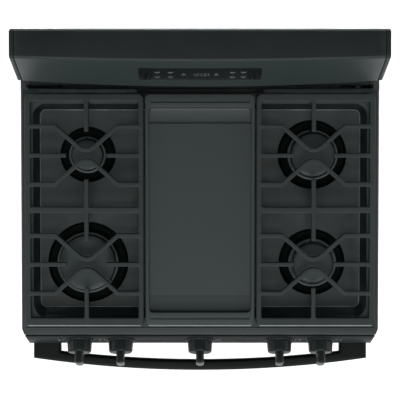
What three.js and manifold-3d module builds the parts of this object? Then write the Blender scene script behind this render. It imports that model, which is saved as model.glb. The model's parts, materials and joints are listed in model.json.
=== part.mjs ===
// Freestanding gas range: four sealed burners, a centre oval burner under a griddle, an oven with
// a drop-down door, a storage drawer and a backguard with touch controls.
// Millimetres. X runs to the right, Y to the back and Z up, with the origin on the floor under
// the middle of the range.
import * as THREE from 'three';
import { mergeVertices } from 'three/addons/utils/BufferGeometryUtils.js';
import Module from 'manifold-3d';

const wasm = await Module();
wasm.setup();

// Driving dimensions
const rangeWidth = 759.4;
const rangeDepth = 736;
const rangeHeight = 1200;
const rimZ = 920;                    // cooking-surface rim
const panZ = 897;                    // recessed floor of the cooktop
const gap = 0.3;                     // clearance between pieces that rest on each other
const sheet = 1.4;                   // pressed steel sheet

const halfWidth = rangeWidth / 2;
const frontY = -rangeDepth / 2;
const backY = rangeDepth / 2;

// Body
const sideX = 376;                   // outer face of a side panel
const bodyFrontY = -254;
const bodyBackY = backY - 2.5;
const bodyBottomZ = 38;
const bodyTopZ = 892;
const baseTopZ = 50;
const legX = 340;
const legFrontY = -205;
const legBackY = 325;

// Oven
const cavityX = 307;
const cavityBackY = 265;
const cavityBottomZ = 240;
const cavityTopZ = 760;
const frameFrontY = -251;
const ledgeZs = [330, 400, 470, 540, 610];
const rackZs = [400, 540];
const floorPlateZ = 283;

// Oven door and storage drawer
const doorX = 373;
const doorBottomZ = 213;
const doorTopZ = 822;
const doorFrontY = -300;
const doorBackY = -262;
const doorWall = 1.5;
const doorHingeX = 345;
const doorPivotY = -290;
const doorPivotZ = 222;
const handleZ = 790;
const drawerBottomZ = 58;
const drawerTopZ = 207;

// Cooktop and what stands on it
const cooktopFrontY = -269;
const cooktopBackY = 257;
const panX = 341;
const panY = 211;
const panWall = 13;                  // how far the pan's wall leans out on its way up
const burnerX = 239;
const burnerY = 115;
const burners = [
  { name: 'left_rear', x: -burnerX, y: burnerY, bowl: 59, head: 39.5, cap: 33.5 },
  { name: 'left_front', x: -burnerX, y: -burnerY, bowl: 85.5, head: 65.5, cap: 60 },
  { name: 'right_rear', x: burnerX, y: burnerY, bowl: 73.5, head: 54, cap: 47 },
  { name: 'right_front', x: burnerX, y: -burnerY, bowl: 70.5, head: 51.5, cap: 43 },
];
const bowlZ = 893;
const headTopZ = 912;
const grateTopZ = 950;
const grateBarDepth = 14;
const grateOuterX = 368.7;
const grateInnerX = 118.5;
const grateY = 245;
const griddleX = 115;

// Control panel
const panelTop = { y: -274, z: 908 };
const panelBottom = { y: -301.5, z: 830 };
const panelX = 374;
const knobZ = 866;
const knobXs = [-261, -171.7, 0, 171.7, 261];
const knobNames = ['left_front', 'left_rear', 'centre', 'right_rear', 'right_front'];
const knobStandOff = 4.2;            // from the panel to the back of a knob, so that it can be pushed in

// Backguard
const guardX = 367;
const guardBow = 13;                 // how much further forward the middle stands than the ends
const guardRearY = 366.1;
const guardProfile = [
  [guardRearY, 1184], [guardRearY, rangeHeight], [309, rangeHeight], [304.5, 1196],
  [258, 1069], [259, 1062], [266, 1058], [300, 1056], [300, 945], [262, 924], [262, 897],
];
const ventX = 133;

const finishes = {
  blackPaint: { color: 0x2a3030, roughness: 0.45, metalness: 0.1 },
  greyPanel: { color: 0x5a6161, roughness: 0.4, metalness: 0.35 },
  blackEnamel: { color: 0x242a2b, roughness: 0.25, metalness: 0 },
  ovenEnamel: { color: 0x2d3136, roughness: 0.35, metalness: 0 },
  castIron: { color: 0x1c1f1f, roughness: 0.75, metalness: 0.2 },
  griddleCoat: { color: 0x3c4343, roughness: 0.6, metalness: 0.1 },
  capEnamel: { color: 0x15191a, roughness: 0.45, metalness: 0 },
  aluminium: { color: 0x9a9c9b, roughness: 0.5, metalness: 0.9 },
  brass: { color: 0xa8853f, roughness: 0.35, metalness: 1 },
  chrome: { color: 0xc4c7c8, roughness: 0.18, metalness: 1 },
  zincSteel: { color: 0x8d9293, roughness: 0.5, metalness: 0.9 },
  blackPlastic: { color: 0x23292a, roughness: 0.5, metalness: 0 },
  blackGlass: { color: 0x121819, roughness: 0.08, metalness: 0 },
  clearGlass: { color: 0x8fa09c, roughness: 0.05, metalness: 0 },
  gasketBraid: { color: 0x6b6d6a, roughness: 0.95, metalness: 0 },
};

const range = new THREE.Group();

function toSolid(geometry) {
  const plain = geometry.clone();
  plain.deleteAttribute('normal');
  plain.deleteAttribute('uv');
  const merged = mergeVertices(plain, 1e-4);
  return new wasm.Manifold(new wasm.Mesh({
    numProp: 3,
    vertProperties: new Float32Array(merged.attributes.position.array),
    triVerts: new Uint32Array(merged.index.array),
  }));
}

function toGeometry(solid) {
  const mesh = solid.simplify(0.004).getMesh();
  const geometry = new THREE.BufferGeometry();
  geometry.setAttribute('position', new THREE.BufferAttribute(mesh.vertProperties, 3));
  geometry.setIndex(new THREE.BufferAttribute(mesh.triVerts, 1));
  return geometry;
}

function addPart(name, shape, finish, parent = range) {
  const geometry = shape.isBufferGeometry ? shape : toGeometry(shape);
  const mesh = new THREE.Mesh(geometry, new THREE.MeshStandardMaterial(finishes[finish]));
  mesh.name = name;
  parent.add(mesh);
  return mesh;
}

function joinAll(solids) {
  return solids.reduce((whole, piece) => whole.add(piece));
}

// A box between two corners
function block(x0, x1, y0, y1, z0, z1) {
  const geometry = new THREE.BoxGeometry(Math.abs(x1 - x0), Math.abs(y1 - y0), Math.abs(z1 - z0));
  geometry.translate((x0 + x1) / 2, (y0 + y1) / 2, (z0 + z1) / 2);
  return toSolid(geometry);
}

function shapeOf(points) {
  return new THREE.Shape(points.map(([a, b]) => new THREE.Vector2(a, b)));
}

// An outline in the YZ plane, drawn out along X
function drawnAlongX(points, x0, x1, options = {}) {
  const settings = { depth: x1 - x0, steps: 1, bevelEnabled: false, ...options };
  const geometry = new THREE.ExtrudeGeometry(shapeOf(points), settings);
  const turn = new THREE.Matrix4().makeBasis(
    new THREE.Vector3(0, 1, 0), new THREE.Vector3(0, 0, 1), new THREE.Vector3(1, 0, 0));
  geometry.applyMatrix4(turn);
  geometry.translate(x0, 0, 0);
  return geometry;
}

// An outline in the XY plane, drawn up from z0 to z1
function drawnUp(outline, z0, z1, options = {}) {
  const shape = outline instanceof THREE.Shape ? outline : shapeOf(outline);
  const settings = { depth: z1 - z0, bevelEnabled: false, curveSegments: 3, ...options };
  const geometry = new THREE.ExtrudeGeometry(shape, settings);
  geometry.translate(0, 0, z0);
  return geometry;
}

// Bevelled top and bottom edges that stay inside the outline and the height
function bevel(size, z0, z1) {
  return {
    depth: z1 - z0 - 2 * size,
    bevelEnabled: true,
    bevelThickness: size,
    bevelSize: size,
    bevelOffset: -size,
    bevelSegments: 1,
  };
}

function drawnUpBevelled(outline, z0, z1, size) {
  const geometry = drawnUp(outline, z0, z1, bevel(size, z0, z1));
  geometry.translate(0, 0, size);
  return geometry;
}

function turned(profile, segments = 24) {
  const points = profile.map(([radius, height]) => new THREE.Vector2(radius, height));
  const geometry = new THREE.LatheGeometry(points, segments);
  geometry.rotateX(Math.PI / 2);
  return geometry;
}

// A round bar between two points
function rod(radius, from, to, sides = 6) {
  const start = new THREE.Vector3(...from);
  const end = new THREE.Vector3(...to);
  const along = new THREE.Vector3().subVectors(end, start);
  const geometry = new THREE.CylinderGeometry(radius, radius, along.length(), sides);
  const turn = new THREE.Quaternion().setFromUnitVectors(
    new THREE.Vector3(0, 1, 0), along.clone().normalize());
  geometry.applyQuaternion(turn);
  geometry.translate(...start.add(end).multiplyScalar(0.5).toArray());
  return toSolid(geometry);
}

// A round tube along a smooth curve
function tube(points, radius, steps, sides = 8) {
  const curve = new THREE.CatmullRomCurve3(points.map((p) => new THREE.Vector3(...p)), false, 'chordal');
  const section = new THREE.Shape();
  section.absarc(0, 0, radius, 0, Math.PI * 2, false);
  const settings = { steps, extrudePath: curve, curveSegments: sides / 2 };
  return toSolid(new THREE.ExtrudeGeometry(section, settings));
}

function roundedRect(halfX, halfY, radius) {
  const shape = new THREE.Shape();
  shape.absarc(halfX - radius, halfY - radius, radius, 0, Math.PI / 2, false);
  shape.absarc(-halfX + radius, halfY - radius, radius, Math.PI / 2, Math.PI, false);
  shape.absarc(-halfX + radius, -halfY + radius, radius, Math.PI, Math.PI * 1.5, false);
  shape.absarc(halfX - radius, -halfY + radius, radius, Math.PI * 1.5, Math.PI * 2, false);
  return shape;
}

// The same path moved sideways to its left, with mitred corners
function offsetPath(points, distance) {
  return points.map(([x, y], i) => {
    const before = points[Math.max(i - 1, 0)];
    const after = points[Math.min(i + 1, points.length - 1)];
    const into = new THREE.Vector2(x - before[0], y - before[1]).normalize();
    const out = new THREE.Vector2(after[0] - x, after[1] - y).normalize();
    const first = i === 0 ? out : into;
    const last = i === points.length - 1 ? into : out;
    const middle = new THREE.Vector2(-first.y - last.y, first.x + last.x).normalize();
    const reach = distance / (middle.x * -first.y + middle.y * first.x);
    return [x + middle.x * reach, y + middle.y * reach];
  });
}

// A bar of even width along a path
function barOutline(points, width) {
  return [...offsetPath(points, width / 2), ...offsetPath(points, -width / 2).reverse()];
}

// A sheet whose outer side is the path and whose thickness lies to the path's left
function sheetOutline(points, thickness) {
  return [...points, ...offsetPath(points, thickness).reverse()];
}

// ---- Base, legs and body panels ----

function makeBase() {
  const outerX = sideX - 2.5;
  const rearY = bodyBackY - 3;
  const frontEdgeY = bodyFrontY + 19;
  const plate = 2.4;
  const railX = 326;
  let base = block(-outerX, outerX, frontEdgeY, rearY, bodyBottomZ, baseTopZ);
  base = base.subtract(block(
    -outerX + plate, outerX - plate, frontEdgeY + plate, rearY - plate, bodyBottomZ - 1, baseTopZ - plate));
  base = base.subtract(block(-315, 315, frontEdgeY + 45, rearY - 45, 0, 60));
  for (const side of [-1, 1]) {
    base = base.add(block(side * railX, side * (railX + 2), frontEdgeY + 10, rearY - 20, baseTopZ - 2, 120));
    base = base.add(block(side * (railX - 13), side * (railX + 1), frontEdgeY + 10, rearY - 20, 118, 120));
    for (const y of [legFrontY, legBackY]) {
      base = base.subtract(rod(5.6, [side * legX, y, 0], [side * legX, y, 60], 12));
    }
  }
  addPart('base_frame', base, 'zincSteel');
}

function makeLegs() {
  const profile = [[0, 0], [15, 0], [17, 2], [17, 6], [10, 9], [5, 9], [5, 70], [0, 70]];
  for (const [side, x] of [['left', -legX], ['right', legX]]) {
    for (const [end, y] of [['front', legFrontY], ['rear', legBackY]]) {
      const leg = addPart(`levelling_leg_${side}_${end}`, turned(profile, 12), 'blackPlastic');
      leg.position.set(x, y, 0);
    }
  }
}

function makeSidePanel(name, side) {
  const returnDepth = 24;
  const path = [
    [sideX, bodyFrontY], [sideX, bodyBackY], [sideX - returnDepth, bodyBackY],
  ];
  const outline = sheetOutline(path, sheet).map(([x, y]) => [side * x, y]);
  let panel = toSolid(drawnUp(outline, bodyBottomZ, bodyTopZ));
  const innerX = side * (sideX - sheet - 0.2);
  panel = panel.subtract(block(0, innerX, -400, 400, 0, baseTopZ + 2));
  addPart(name, panel, 'blackPaint');
}

function makeRearPanel() {
  const panelFrontY = bodyBackY + gap;
  let panel = block(-sideX + 2, sideX - 2, panelFrontY, panelFrontY + 1.2, baseTopZ + 2, bodyTopZ - 12);
  panel = panel.subtract(block(262, 338, 300, 400, 112, 188));
  panel = panel.subtract(block(-264, -236, 300, 400, 96, 124));
  for (const row of [620, 650, 680]) {
    for (let column = -2; column <= 2; column += 1) {
      const x = column * 48;
      panel = panel.subtract(block(x - 16, x + 16, 300, 400, row, row + 8));
    }
  }
  addPart('rear_panel', panel, 'zincSteel');
}

// ---- Oven ----

function makeOvenLiner() {
  const frontLipY = frameFrontY + 1.8;
  let liner = block(
    -cavityX - sheet, cavityX + sheet, frontLipY, cavityBackY + sheet,
    cavityBottomZ - sheet, cavityTopZ + sheet);
  liner = liner.subtract(block(-cavityX, cavityX, -400, cavityBackY, cavityBottomZ, cavityTopZ));
  for (const side of [-1, 1]) {
    for (const z of [floorPlateZ - gap, ...ledgeZs]) {
      liner = liner.add(block(side * (cavityX - 10), side * (cavityX + 0.5), -225, 245, z - 4, z));
    }
  }
  addPart('oven_liner', liner, 'ovenEnamel');
}

function makeOvenFloor() {
  const halfX = cavityX - 2;
  let plate = block(-halfX, halfX, -240, 250, floorPlateZ, floorPlateZ + 1.5);
  plate = plate.add(block(-halfX, halfX, -240, -238.5, floorPlateZ - 30, floorPlateZ + 1));
  for (const side of [-1, 1]) {
    for (let row = 0; row < 7; row += 1) {
      const y = -190 + row * 60;
      plate = plate.subtract(block(side * 262, side * 290, y, y + 26, 200, 300));
    }
    plate = plate.subtract(block(side * (halfX - 9), side * (halfX + 1), -245, -230, 200, floorPlateZ - 2));
  }
  addPart('oven_floor', plate, 'ovenEnamel');
}

function makeOvenFront() {
  let front = block(-doorX, doorX, frameFrontY, frameFrontY + 1.5, doorBottomZ - 1, doorTopZ + 3);
  front = front.subtract(block(-cavityX, cavityX, -400, 0, cavityBottomZ, cavityTopZ));
  addPart('oven_front_frame', front, 'blackEnamel');
  const middleZ = (cavityBottomZ + cavityTopZ) / 2;
  const halfHeight = (cavityTopZ - cavityBottomZ) / 2;
  const outer = roundedRect(cavityX + 17, halfHeight + 15, 16);
  outer.holes.push(roundedRect(cavityX + 6, halfHeight + 4, 8));
  const ring = drawnUp(outer, 0, 7, { curveSegments: 2 });
  ring.rotateX(Math.PI / 2);
  const gasket = addPart('door_gasket', ring, 'gasketBraid');
  gasket.position.set(0, frameFrontY - gap, middleZ);
}

function makeOvenBurners() {
  const z = 262;
  const bake = tube([
    [-150, 258, z], [-150, 120, z], [-150, -110, z], [-120, -160, z], [0, -172, z], [120, -160, z],
    [150, -110, z], [150, 120, z], [150, 220, z],
  ], 9, 24);
  addPart('bake_burner', bake, 'zincSteel');
  const section = [[-42, 738], [-50, 742], [-30, 756], [30, 756], [50, 742], [42, 738]];
  const broil = new THREE.ExtrudeGeometry(shapeOf(section), { depth: 390, bevelEnabled: false });
  broil.rotateX(Math.PI / 2);
  broil.translate(0, 230, 0);
  addPart('broil_burner', toSolid(broil).add(rod(9, [0, 225, 748], [0, 262, 748], 10)), 'zincSteel');
  const lamp = addPart('oven_lamp_cover', turned([[0, 0], [30, 0], [30, 5], [24, 16], [12, 23], [0, 25]], 12),
    'clearGlass');
  lamp.position.set(-215, cavityBackY - gap, 690);
  lamp.rotation.x = Math.PI / 2;
  const probe = addPart('temperature_probe',
    turned([[0, 0], [11, 0], [11, 2], [2.6, 2], [2.6, 130], [0, 132]], 10), 'chrome');
  probe.position.set(200, cavityBackY - gap, 700);
  probe.rotation.x = Math.PI / 2;
}

function makeRack(name, ledgeZ) {
  const wireZ = ledgeZ + 3.4;
  const halfX = 303;
  const rearY = 240;
  const frontWireY = -222;
  const wires = [
    rod(3, [-halfX, frontWireY, wireZ], [-halfX, rearY, wireZ]),
    rod(3, [halfX, frontWireY, wireZ], [halfX, rearY, wireZ]),
    rod(3, [-halfX - 2, frontWireY, wireZ], [halfX + 2, frontWireY, wireZ]),
    rod(3, [-halfX - 2, rearY, wireZ], [halfX + 2, rearY, wireZ]),
    block(-halfX, halfX, 68, 72, wireZ - 3, wireZ + 1),
    block(-halfX, halfX, -92, -88, wireZ - 3, wireZ + 1),
  ];
  const wireCount = 11;
  for (let i = 0; i < wireCount; i += 1) {
    const x = (i - (wireCount - 1) / 2) * 50;
    wires.push(block(x - 2, x + 2, frontWireY, rearY, wireZ - 2, wireZ + 2));
  }
  addPart(name, joinAll(wires), 'chrome');
}

// ---- Oven door ----

// The slot that the hinge arm swings through, open to the back of the door's front skin
function doorHingeCut(side) {
  return block(side * 328, side * 362, doorFrontY + doorWall, -240, doorBottomZ - 3, 262);
}

function makeDoor() {
  let shell = block(-doorX, doorX, doorFrontY, doorBackY, doorBottomZ, doorTopZ);
  shell = shell.subtract(block(
    -doorX + doorWall, doorX - doorWall, doorFrontY + doorWall, 0,
    doorBottomZ + doorWall, doorTopZ - doorWall));
  shell = shell.subtract(block(-255, 255, -400, 0, 390, 690));
  let inner = block(-doorX + 3, doorX - 3, doorBackY + gap, -259, doorBottomZ + 3, doorTopZ - 3);
  inner = inner.add(block(-285, 285, -259.5, -247, 285, 715));
  inner = inner.subtract(block(-283.5, 283.5, -270, -248.5, 286.5, 713.5));
  inner = inner.subtract(block(-210, 210, -400, 0, 410, 660));
  for (const side of [-1, 1]) {
    shell = shell.subtract(doorHingeCut(side));
    inner = inner.subtract(doorHingeCut(side));
  }
  addPart('door_outer_panel', shell, 'blackPaint');
  addPart('door_inner_panel', inner, 'ovenEnamel');
  addPart('door_outer_glass', block(-270, 270, doorFrontY + doorWall + gap, -293.5, 376, 704), 'blackGlass');
  addPart('door_inner_glass', block(-225, 225, -253, -249, 396, 674), 'clearGlass');
  for (const [name, side] of [['left', -1], ['right', 1]]) {
    const plateX0 = side * (doorHingeX - 9);
    const plateX1 = side * (doorHingeX + 9);
    let hinge = block(plateX0, plateX1, doorPivotY, frameFrontY - gap, doorPivotZ - 5, doorPivotZ + 5);
    hinge = hinge.add(block(plateX0, plateX1, -256, frameFrontY - gap, doorPivotZ - 8, doorPivotZ + 30));
    hinge = hinge.add(rod(5, [side * 332, doorPivotY, doorPivotZ], [side * 358, doorPivotY, doorPivotZ], 12));
    addPart(`door_hinge_${name}`, hinge, 'zincSteel');
  }
}

// The handle is one casting: a bowed bar with a wide bracket at each end
function makeDoorHandle() {
  const halfLength = 369;
  const bracketWidth = 61;
  const bow = 27;
  const thickness = 23;
  const mountY = doorFrontY - gap;
  const outline = [[-halfLength, mountY]];
  for (let i = -6; i <= 6; i += 1) {
    const t = i / 6;
    outline.push([t * halfLength, frontY + bow * t * t]);
  }
  const innerEnd = halfLength - bracketWidth;
  outline.push([halfLength, mountY], [innerEnd, mountY]);
  for (let i = 5; i >= -5; i -= 1) {
    const x = (i / 5) * innerEnd;
    outline.push([x, frontY + bow * (x / halfLength) ** 2 + thickness]);
  }
  outline.push([-innerEnd, mountY]);
  addPart('door_handle', drawnUpBevelled(outline, handleZ - 11, handleZ + 11, 5), 'blackPaint');
}

// ---- Storage drawer ----

function makeDrawer() {
  const frontDepth = 38;
  let front = block(-doorX, doorX, doorFrontY, doorFrontY + frontDepth, drawerBottomZ, drawerTopZ);
  front = front.subtract(block(
    -doorX + 2, doorX - 2, doorFrontY + 2, 0, drawerBottomZ + 2, drawerTopZ - 2));
  addPart('drawer_front', front, 'blackPaint');
  const tubX = 308;
  const tubFrontY = doorFrontY + 2.4;
  const tubTopZ = 186;
  let tub = block(-tubX, tubX, tubFrontY, 250, 66, tubTopZ);
  tub = tub.subtract(block(-tubX + sheet, tubX - sheet, tubFrontY + sheet, 250 - sheet, 66 + sheet, 300));
  addPart('drawer_tub', tub, 'zincSteel');
}

// ---- Cooktop ----

function panCut(grow, floorZ) {
  const wallHeight = rimZ - panZ;
  const mouth = roundedRect(panX + grow, panY + grow, 14 + grow);
  const mouthZ = floorZ + wallHeight;
  return toSolid(drawnUp(mouth, mouthZ, mouthZ + 10, {
    bevelEnabled: true, bevelThickness: wallHeight, bevelSize: panWall, bevelSegments: 1,
  }));
}

function makeCooktop() {
  const skin = 2.2;
  const underZ = 893;
  const cornerX = halfWidth - 5;
  const cornerY = cooktopFrontY + 12;
  const outline = [
    [-halfWidth, cooktopBackY], [-halfWidth, cornerY], [-cornerX, cooktopFrontY],
    [cornerX, cooktopFrontY], [halfWidth, cornerY], [halfWidth, cooktopBackY],
  ];
  let top = toSolid(drawnUpBevelled(outline, underZ, rimZ, 3));
  top = top.subtract(panCut(0, panZ));
  const inner = offsetPath([...outline, outline[0]], skin).slice(1, -1);
  const underSpace = [
    [-halfWidth + skin, cooktopBackY - skin], ...inner.slice(0, 4), [halfWidth - skin, cooktopBackY - skin],
  ];
  const hollow = toSolid(drawnUp(underSpace, underZ - 5, rimZ - skin));
  top = top.subtract(hollow.subtract(panCut(skin, panZ - skin)));
  for (const side of [-1, 1]) {
    top = top.add(block(side * (ventX + 4), side * 340, 247, 255, rimZ - 1, 926));
  }
  top = top.subtract(block(-ventX, ventX, 246.5, 254, 890, 940));
  for (const burner of burners) {
    const rim = burner.bowl + 2;
    const dish = turned([[0, bowlZ - skin], [rim, bowlZ - skin], [rim, panZ - 0.5], [0, panZ - 0.5]]);
    const hollowDish = turned([
      [0, bowlZ], [burner.bowl - 5, bowlZ], [burner.bowl, panZ], [burner.bowl, panZ + 5], [0, panZ + 5],
    ]);
    dish.translate(burner.x, burner.y, 0);
    hollowDish.translate(burner.x, burner.y, 0);
    top = top.add(toSolid(dish)).subtract(toSolid(hollowDish));
    const hole = burner.head - 12;
    top = top.subtract(rod(hole, [burner.x, burner.y, 870], [burner.x, burner.y, 900], 24));
  }
  top = top.subtract(rod(20, [0, 0, 870], [0, 0, 910], 20));
  addPart('cooktop', top, 'blackEnamel');
}

function makeBurners() {
  for (const { name, x, y, head, cap } of burners) {
    const neck = head - 14;
    const crown = head - 4;
    const headPart = addPart(`burner_head_${name}`, turned([
      [0, 880], [neck, 880], [neck, bowlZ + gap], [head, bowlZ + gap], [head, bowlZ + 4], [crown, bowlZ + 7],
      [cap - 2, headTopZ - 1], [cap - 3, headTopZ], [0, headTopZ],
    ]), 'aluminium');
    headPart.position.set(x, y, 0);
    const capZ = headTopZ + gap;
    const capPart = addPart(`burner_cap_${name}`, turned([
      [0, capZ], [cap - 2, capZ], [cap, capZ + 2], [cap, capZ + 7],
      [cap - 3, capZ + 10], [cap * 0.5, capZ + 11.6],
      [0, capZ + 12],
    ]), 'capEnamel');
    capPart.position.set(x, y, 0);
  }
  const head = toSolid(drawnUpBevelled(roundedRect(30, 95, 29), panZ + gap, 909, 2));
  addPart('burner_head_centre', head.add(rod(17, [0, 0, 880], [0, 0, 900], 16)), 'aluminium');
  addPart('burner_cap_centre', drawnUpBevelled(roundedRect(27, 92, 26), 909 + gap, 918, 3), 'capEnamel');
}

// ---- Grates and griddle ----

// The two tangent lines from a point to a round nose, as a path that goes in, round the nose and out
function noseFinger(reachX, sideY, noseX, noseRadius) {
  const centre = noseX + noseRadius;
  const distance = Math.hypot(reachX - centre, sideY);
  const toCorner = Math.atan2(sideY, reachX - centre);
  const tangent = toCorner + Math.acos(noseRadius / distance);
  const points = [];
  const steps = 4;
  for (let i = 0; i <= steps; i += 1) {
    const angle = tangent + ((2 * Math.PI - 2 * tangent) * i) / steps;
    points.push([centre + noseRadius * Math.cos(angle), noseRadius * Math.sin(angle)]);
  }
  return points;
}

function makeGrate(name, side) {
  const barBottomZ = grateTopZ - grateBarDepth;
  const barWidth = 9.5;
  const outerRail = 12;
  const innerRail = 11;
  const endRail = 17;
  const runY = 61;                   // from a burner's centre to the straight run of a bent bar
  const cornerX = 66;                // from a burner's centre to the corner where that bar bends in
  const bar = (path, lift, drop) => toSolid(
    drawnUp(barOutline(path, barWidth), barBottomZ + lift, grateTopZ - drop));
  const x0 = grateInnerX;
  const x1 = grateOuterX;
  const rim = roundedRect((x1 - x0) / 2, grateY, 12);
  const inside = new THREE.Shape([
    new THREE.Vector2(-(x1 - x0) / 2 + innerRail, -grateY + endRail),
    new THREE.Vector2((x1 - x0) / 2 - outerRail, -grateY + endRail),
    new THREE.Vector2((x1 - x0) / 2 - outerRail, grateY - endRail),
    new THREE.Vector2(-(x1 - x0) / 2 + innerRail, grateY - endRail),
  ]);
  rim.holes.push(inside);
  const frame = drawnUp(rim, barBottomZ, grateTopZ - 0.6);
  frame.translate((x0 + x1) / 2, 0, 0);
  const pieces = [toSolid(frame), block(x0 + 2, x1 - 2, -6.5, 6.5, barBottomZ + 0.4, grateTopZ - 0.9)];
  for (const y of [-burnerY, burnerY]) {
    for (const towards of [-1, 1]) {
      const railX = towards < 0 ? x0 + 4 : x1 - 4;
      const place = ([dy, dx]) => [burnerX + dx, y + towards * dy];
      const nose = noseFinger(runY, cornerX, 11, 25).map(place);
      const endOfRun = y + towards * runY;
      const path = [
        [x1 - 4, endOfRun], place([runY, cornerX]), ...nose, place([runY, -cornerX]), [x0 + 4, endOfRun],
      ];
      pieces.push(bar(path, 0.8, 0));
      pieces.push(bar([[railX, y], [burnerX + towards * 42, y]], 1.2, 0.3));
      const endY = towards * Math.sign(y) > 0 ? Math.sign(y) * (grateY - 5) : 0;
      const tipY = y + Math.sign(endY - y) * 50;
      pieces.push(bar([[burnerX, endY], [burnerX, tipY]], 1.6, 0.3));
    }
    for (const x of [x0 + 6, x1 - 6]) {
      const footY = Math.sign(y) * (grateY - 8);
      pieces.push(block(x - 5, x + 5, footY - 6, footY + 6, rimZ + gap, barBottomZ + 1));
    }
  }
  const geometry = toGeometry(joinAll(pieces));
  const grate = addPart(name, geometry, 'castIron');
  if (side < 0) {
    grate.rotation.z = Math.PI;
  }
}

function makeGriddle() {
  const floorZ = 941;
  const troughZ = 937;
  const wallY = 216;
  const recess = [
    [-wallY, 990], [-wallY, troughZ], [-182, floorZ], [182, floorZ], [wallY, troughZ], [wallY, 990],
  ];
  let plate = toSolid(drawnUpBevelled(roundedRect(griddleX, grateY, 10), 926, grateTopZ, 2));
  plate = plate.subtract(toSolid(drawnAlongX(recess, -107, 107)));
  plate = plate.subtract(block(-109, 109, -211, 211, 900, 932));
  for (const end of [-1, 1]) {
    plate = plate.subtract(block(-104, 104, end * 226, end * 230.5, 946, 990));
    for (const side of [-1, 1]) {
      plate = plate.add(block(side * 96, side * 108, end * 230, end * 242, rimZ + gap, 928));
    }
  }
  addPart('griddle', plate, 'griddleCoat');
}

// ---- Control panel, gas manifold and knobs ----

const panelTilt = Math.atan2(panelTop.y - panelBottom.y, panelTop.z - panelBottom.z);
const knobShare = (panelTop.z - knobZ) / (panelTop.z - panelBottom.z);
const knobFaceY = panelTop.y + knobShare * (panelBottom.y - panelTop.y);
const knobTurn = Math.PI / 2 - panelTilt;

// Moves a shape built around the knob's own axis to its place on the sloping panel
function ontoPanel(geometry, x) {
  geometry.rotateX(knobTurn);
  geometry.translate(x, knobFaceY, knobZ);
  return toSolid(geometry);
}

function cylinderAlongAxis(radius, z0, z1, sides) {
  return turned([[0, z0], [radius, z0], [radius, z1], [0, z1]], sides);
}

function makeManifoldPanel() {
  const path = [
    [-270.2, 897], [-270.2, 906.5], [panelTop.y, panelTop.z], [panelBottom.y, panelBottom.z], [-297, 826.5],
    [-262, 826.5],
  ];
  let panel = toSolid(drawnAlongX(sheetOutline(path, 1.5), -panelX, panelX));
  const endPlate = [...path.slice(1), [-262, 888], [-270.2, 888]];
  for (const x0 of [-panelX, panelX - 1.5]) {
    panel = panel.add(toSolid(drawnAlongX(endPlate, x0, x0 + 1.5)));
  }
  for (const x of knobXs) {
    panel = panel.subtract(ontoPanel(cylinderAlongAxis(8, -10, 10, 16), x));
  }
  addPart('manifold_panel', panel, 'greyPanel');
}

function makeGasManifold() {
  const pipeSet = 36;
  const pipeY = knobFaceY + pipeSet * Math.cos(panelTilt);
  const pipeZ = knobZ - pipeSet * Math.sin(panelTilt);
  const pieces = [
    rod(9, [-300, pipeY, pipeZ], [335, pipeY, pipeZ], 8),
    tube([
      [330, pipeY, pipeZ], [342, pipeY + 12, pipeZ], [343, pipeY + 60, pipeZ], [343, 280, pipeZ],
      [343, 318, pipeZ],
      [343, 330, pipeZ - 14], [343, 330, pipeZ - 60], [343, 330, 300], [336, 325, 220], [302, 320, 182],
    ], 6.5, 22, 6),
  ];
  const feeds = [burners[1], burners[0], { x: 0, y: 0 }, burners[2], burners[3]];
  knobXs.forEach((x, i) => {
    const valve = turned([[0, -44], [12, -44], [12, -8], [4.3, -8], [4.3, -24], [0, -24]], 8);
    pieces.push(ontoPanel(valve, x));
    const feed = feeds[i];
    pieces.push(tube([
      [x, pipeY + 2, pipeZ], [x, pipeY + 30, pipeZ - 6], [(x + feed.x) / 2, (pipeY + feed.y) / 2, pipeZ],
      [feed.x, feed.y, 866],
    ], 4, 4, 4));
    pieces.push(rod(16, [feed.x, feed.y, 858], [feed.x, feed.y, 876], 8));
  });
  addPart('gas_manifold', joinAll(pieces), 'zincSteel');
}

function makeKnobs() {
  knobXs.forEach((x, i) => {
    const control = new THREE.Group();
    control.position.set(x, knobFaceY, knobZ);
    control.rotation.x = knobTurn;
    range.add(control);
    addPart(`valve_stem_${knobNames[i]}`, cylinderAlongAxis(3.6, -22, 18, 10), 'brass', control);
    const skirt = turned([
      [0, 21], [4.2, 21], [4.2, 0], [26.85, 0], [25.4, 19], [23, 23], [0, 24],
    ], 20);
    const grip = drawnUpBevelled(roundedRect(8.5, 23, 7), 20, 49, 3);
    const knob = addPart(`knob_${knobNames[i]}`, toSolid(skirt).add(toSolid(grip)), 'blackPlastic', control);
    knob.position.z = knobStandOff;
  });
}

// ---- Backguard ----

// The face above the recess bows forward in the middle
function bowForward(geometry) {
  const position = geometry.attributes.position;
  const recessTopZ = 1050;
  for (let i = 0; i < position.count; i += 1) {
    const share = (guardRearY - position.getY(i)) / (guardRearY - 258);
    if (position.getZ(i) > recessTopZ) {
      const drawBack = guardBow * (position.getX(i) / guardX) ** 2 * share;
      position.setY(i, position.getY(i) + drawBack);
    }
  }
  return geometry;
}

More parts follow.
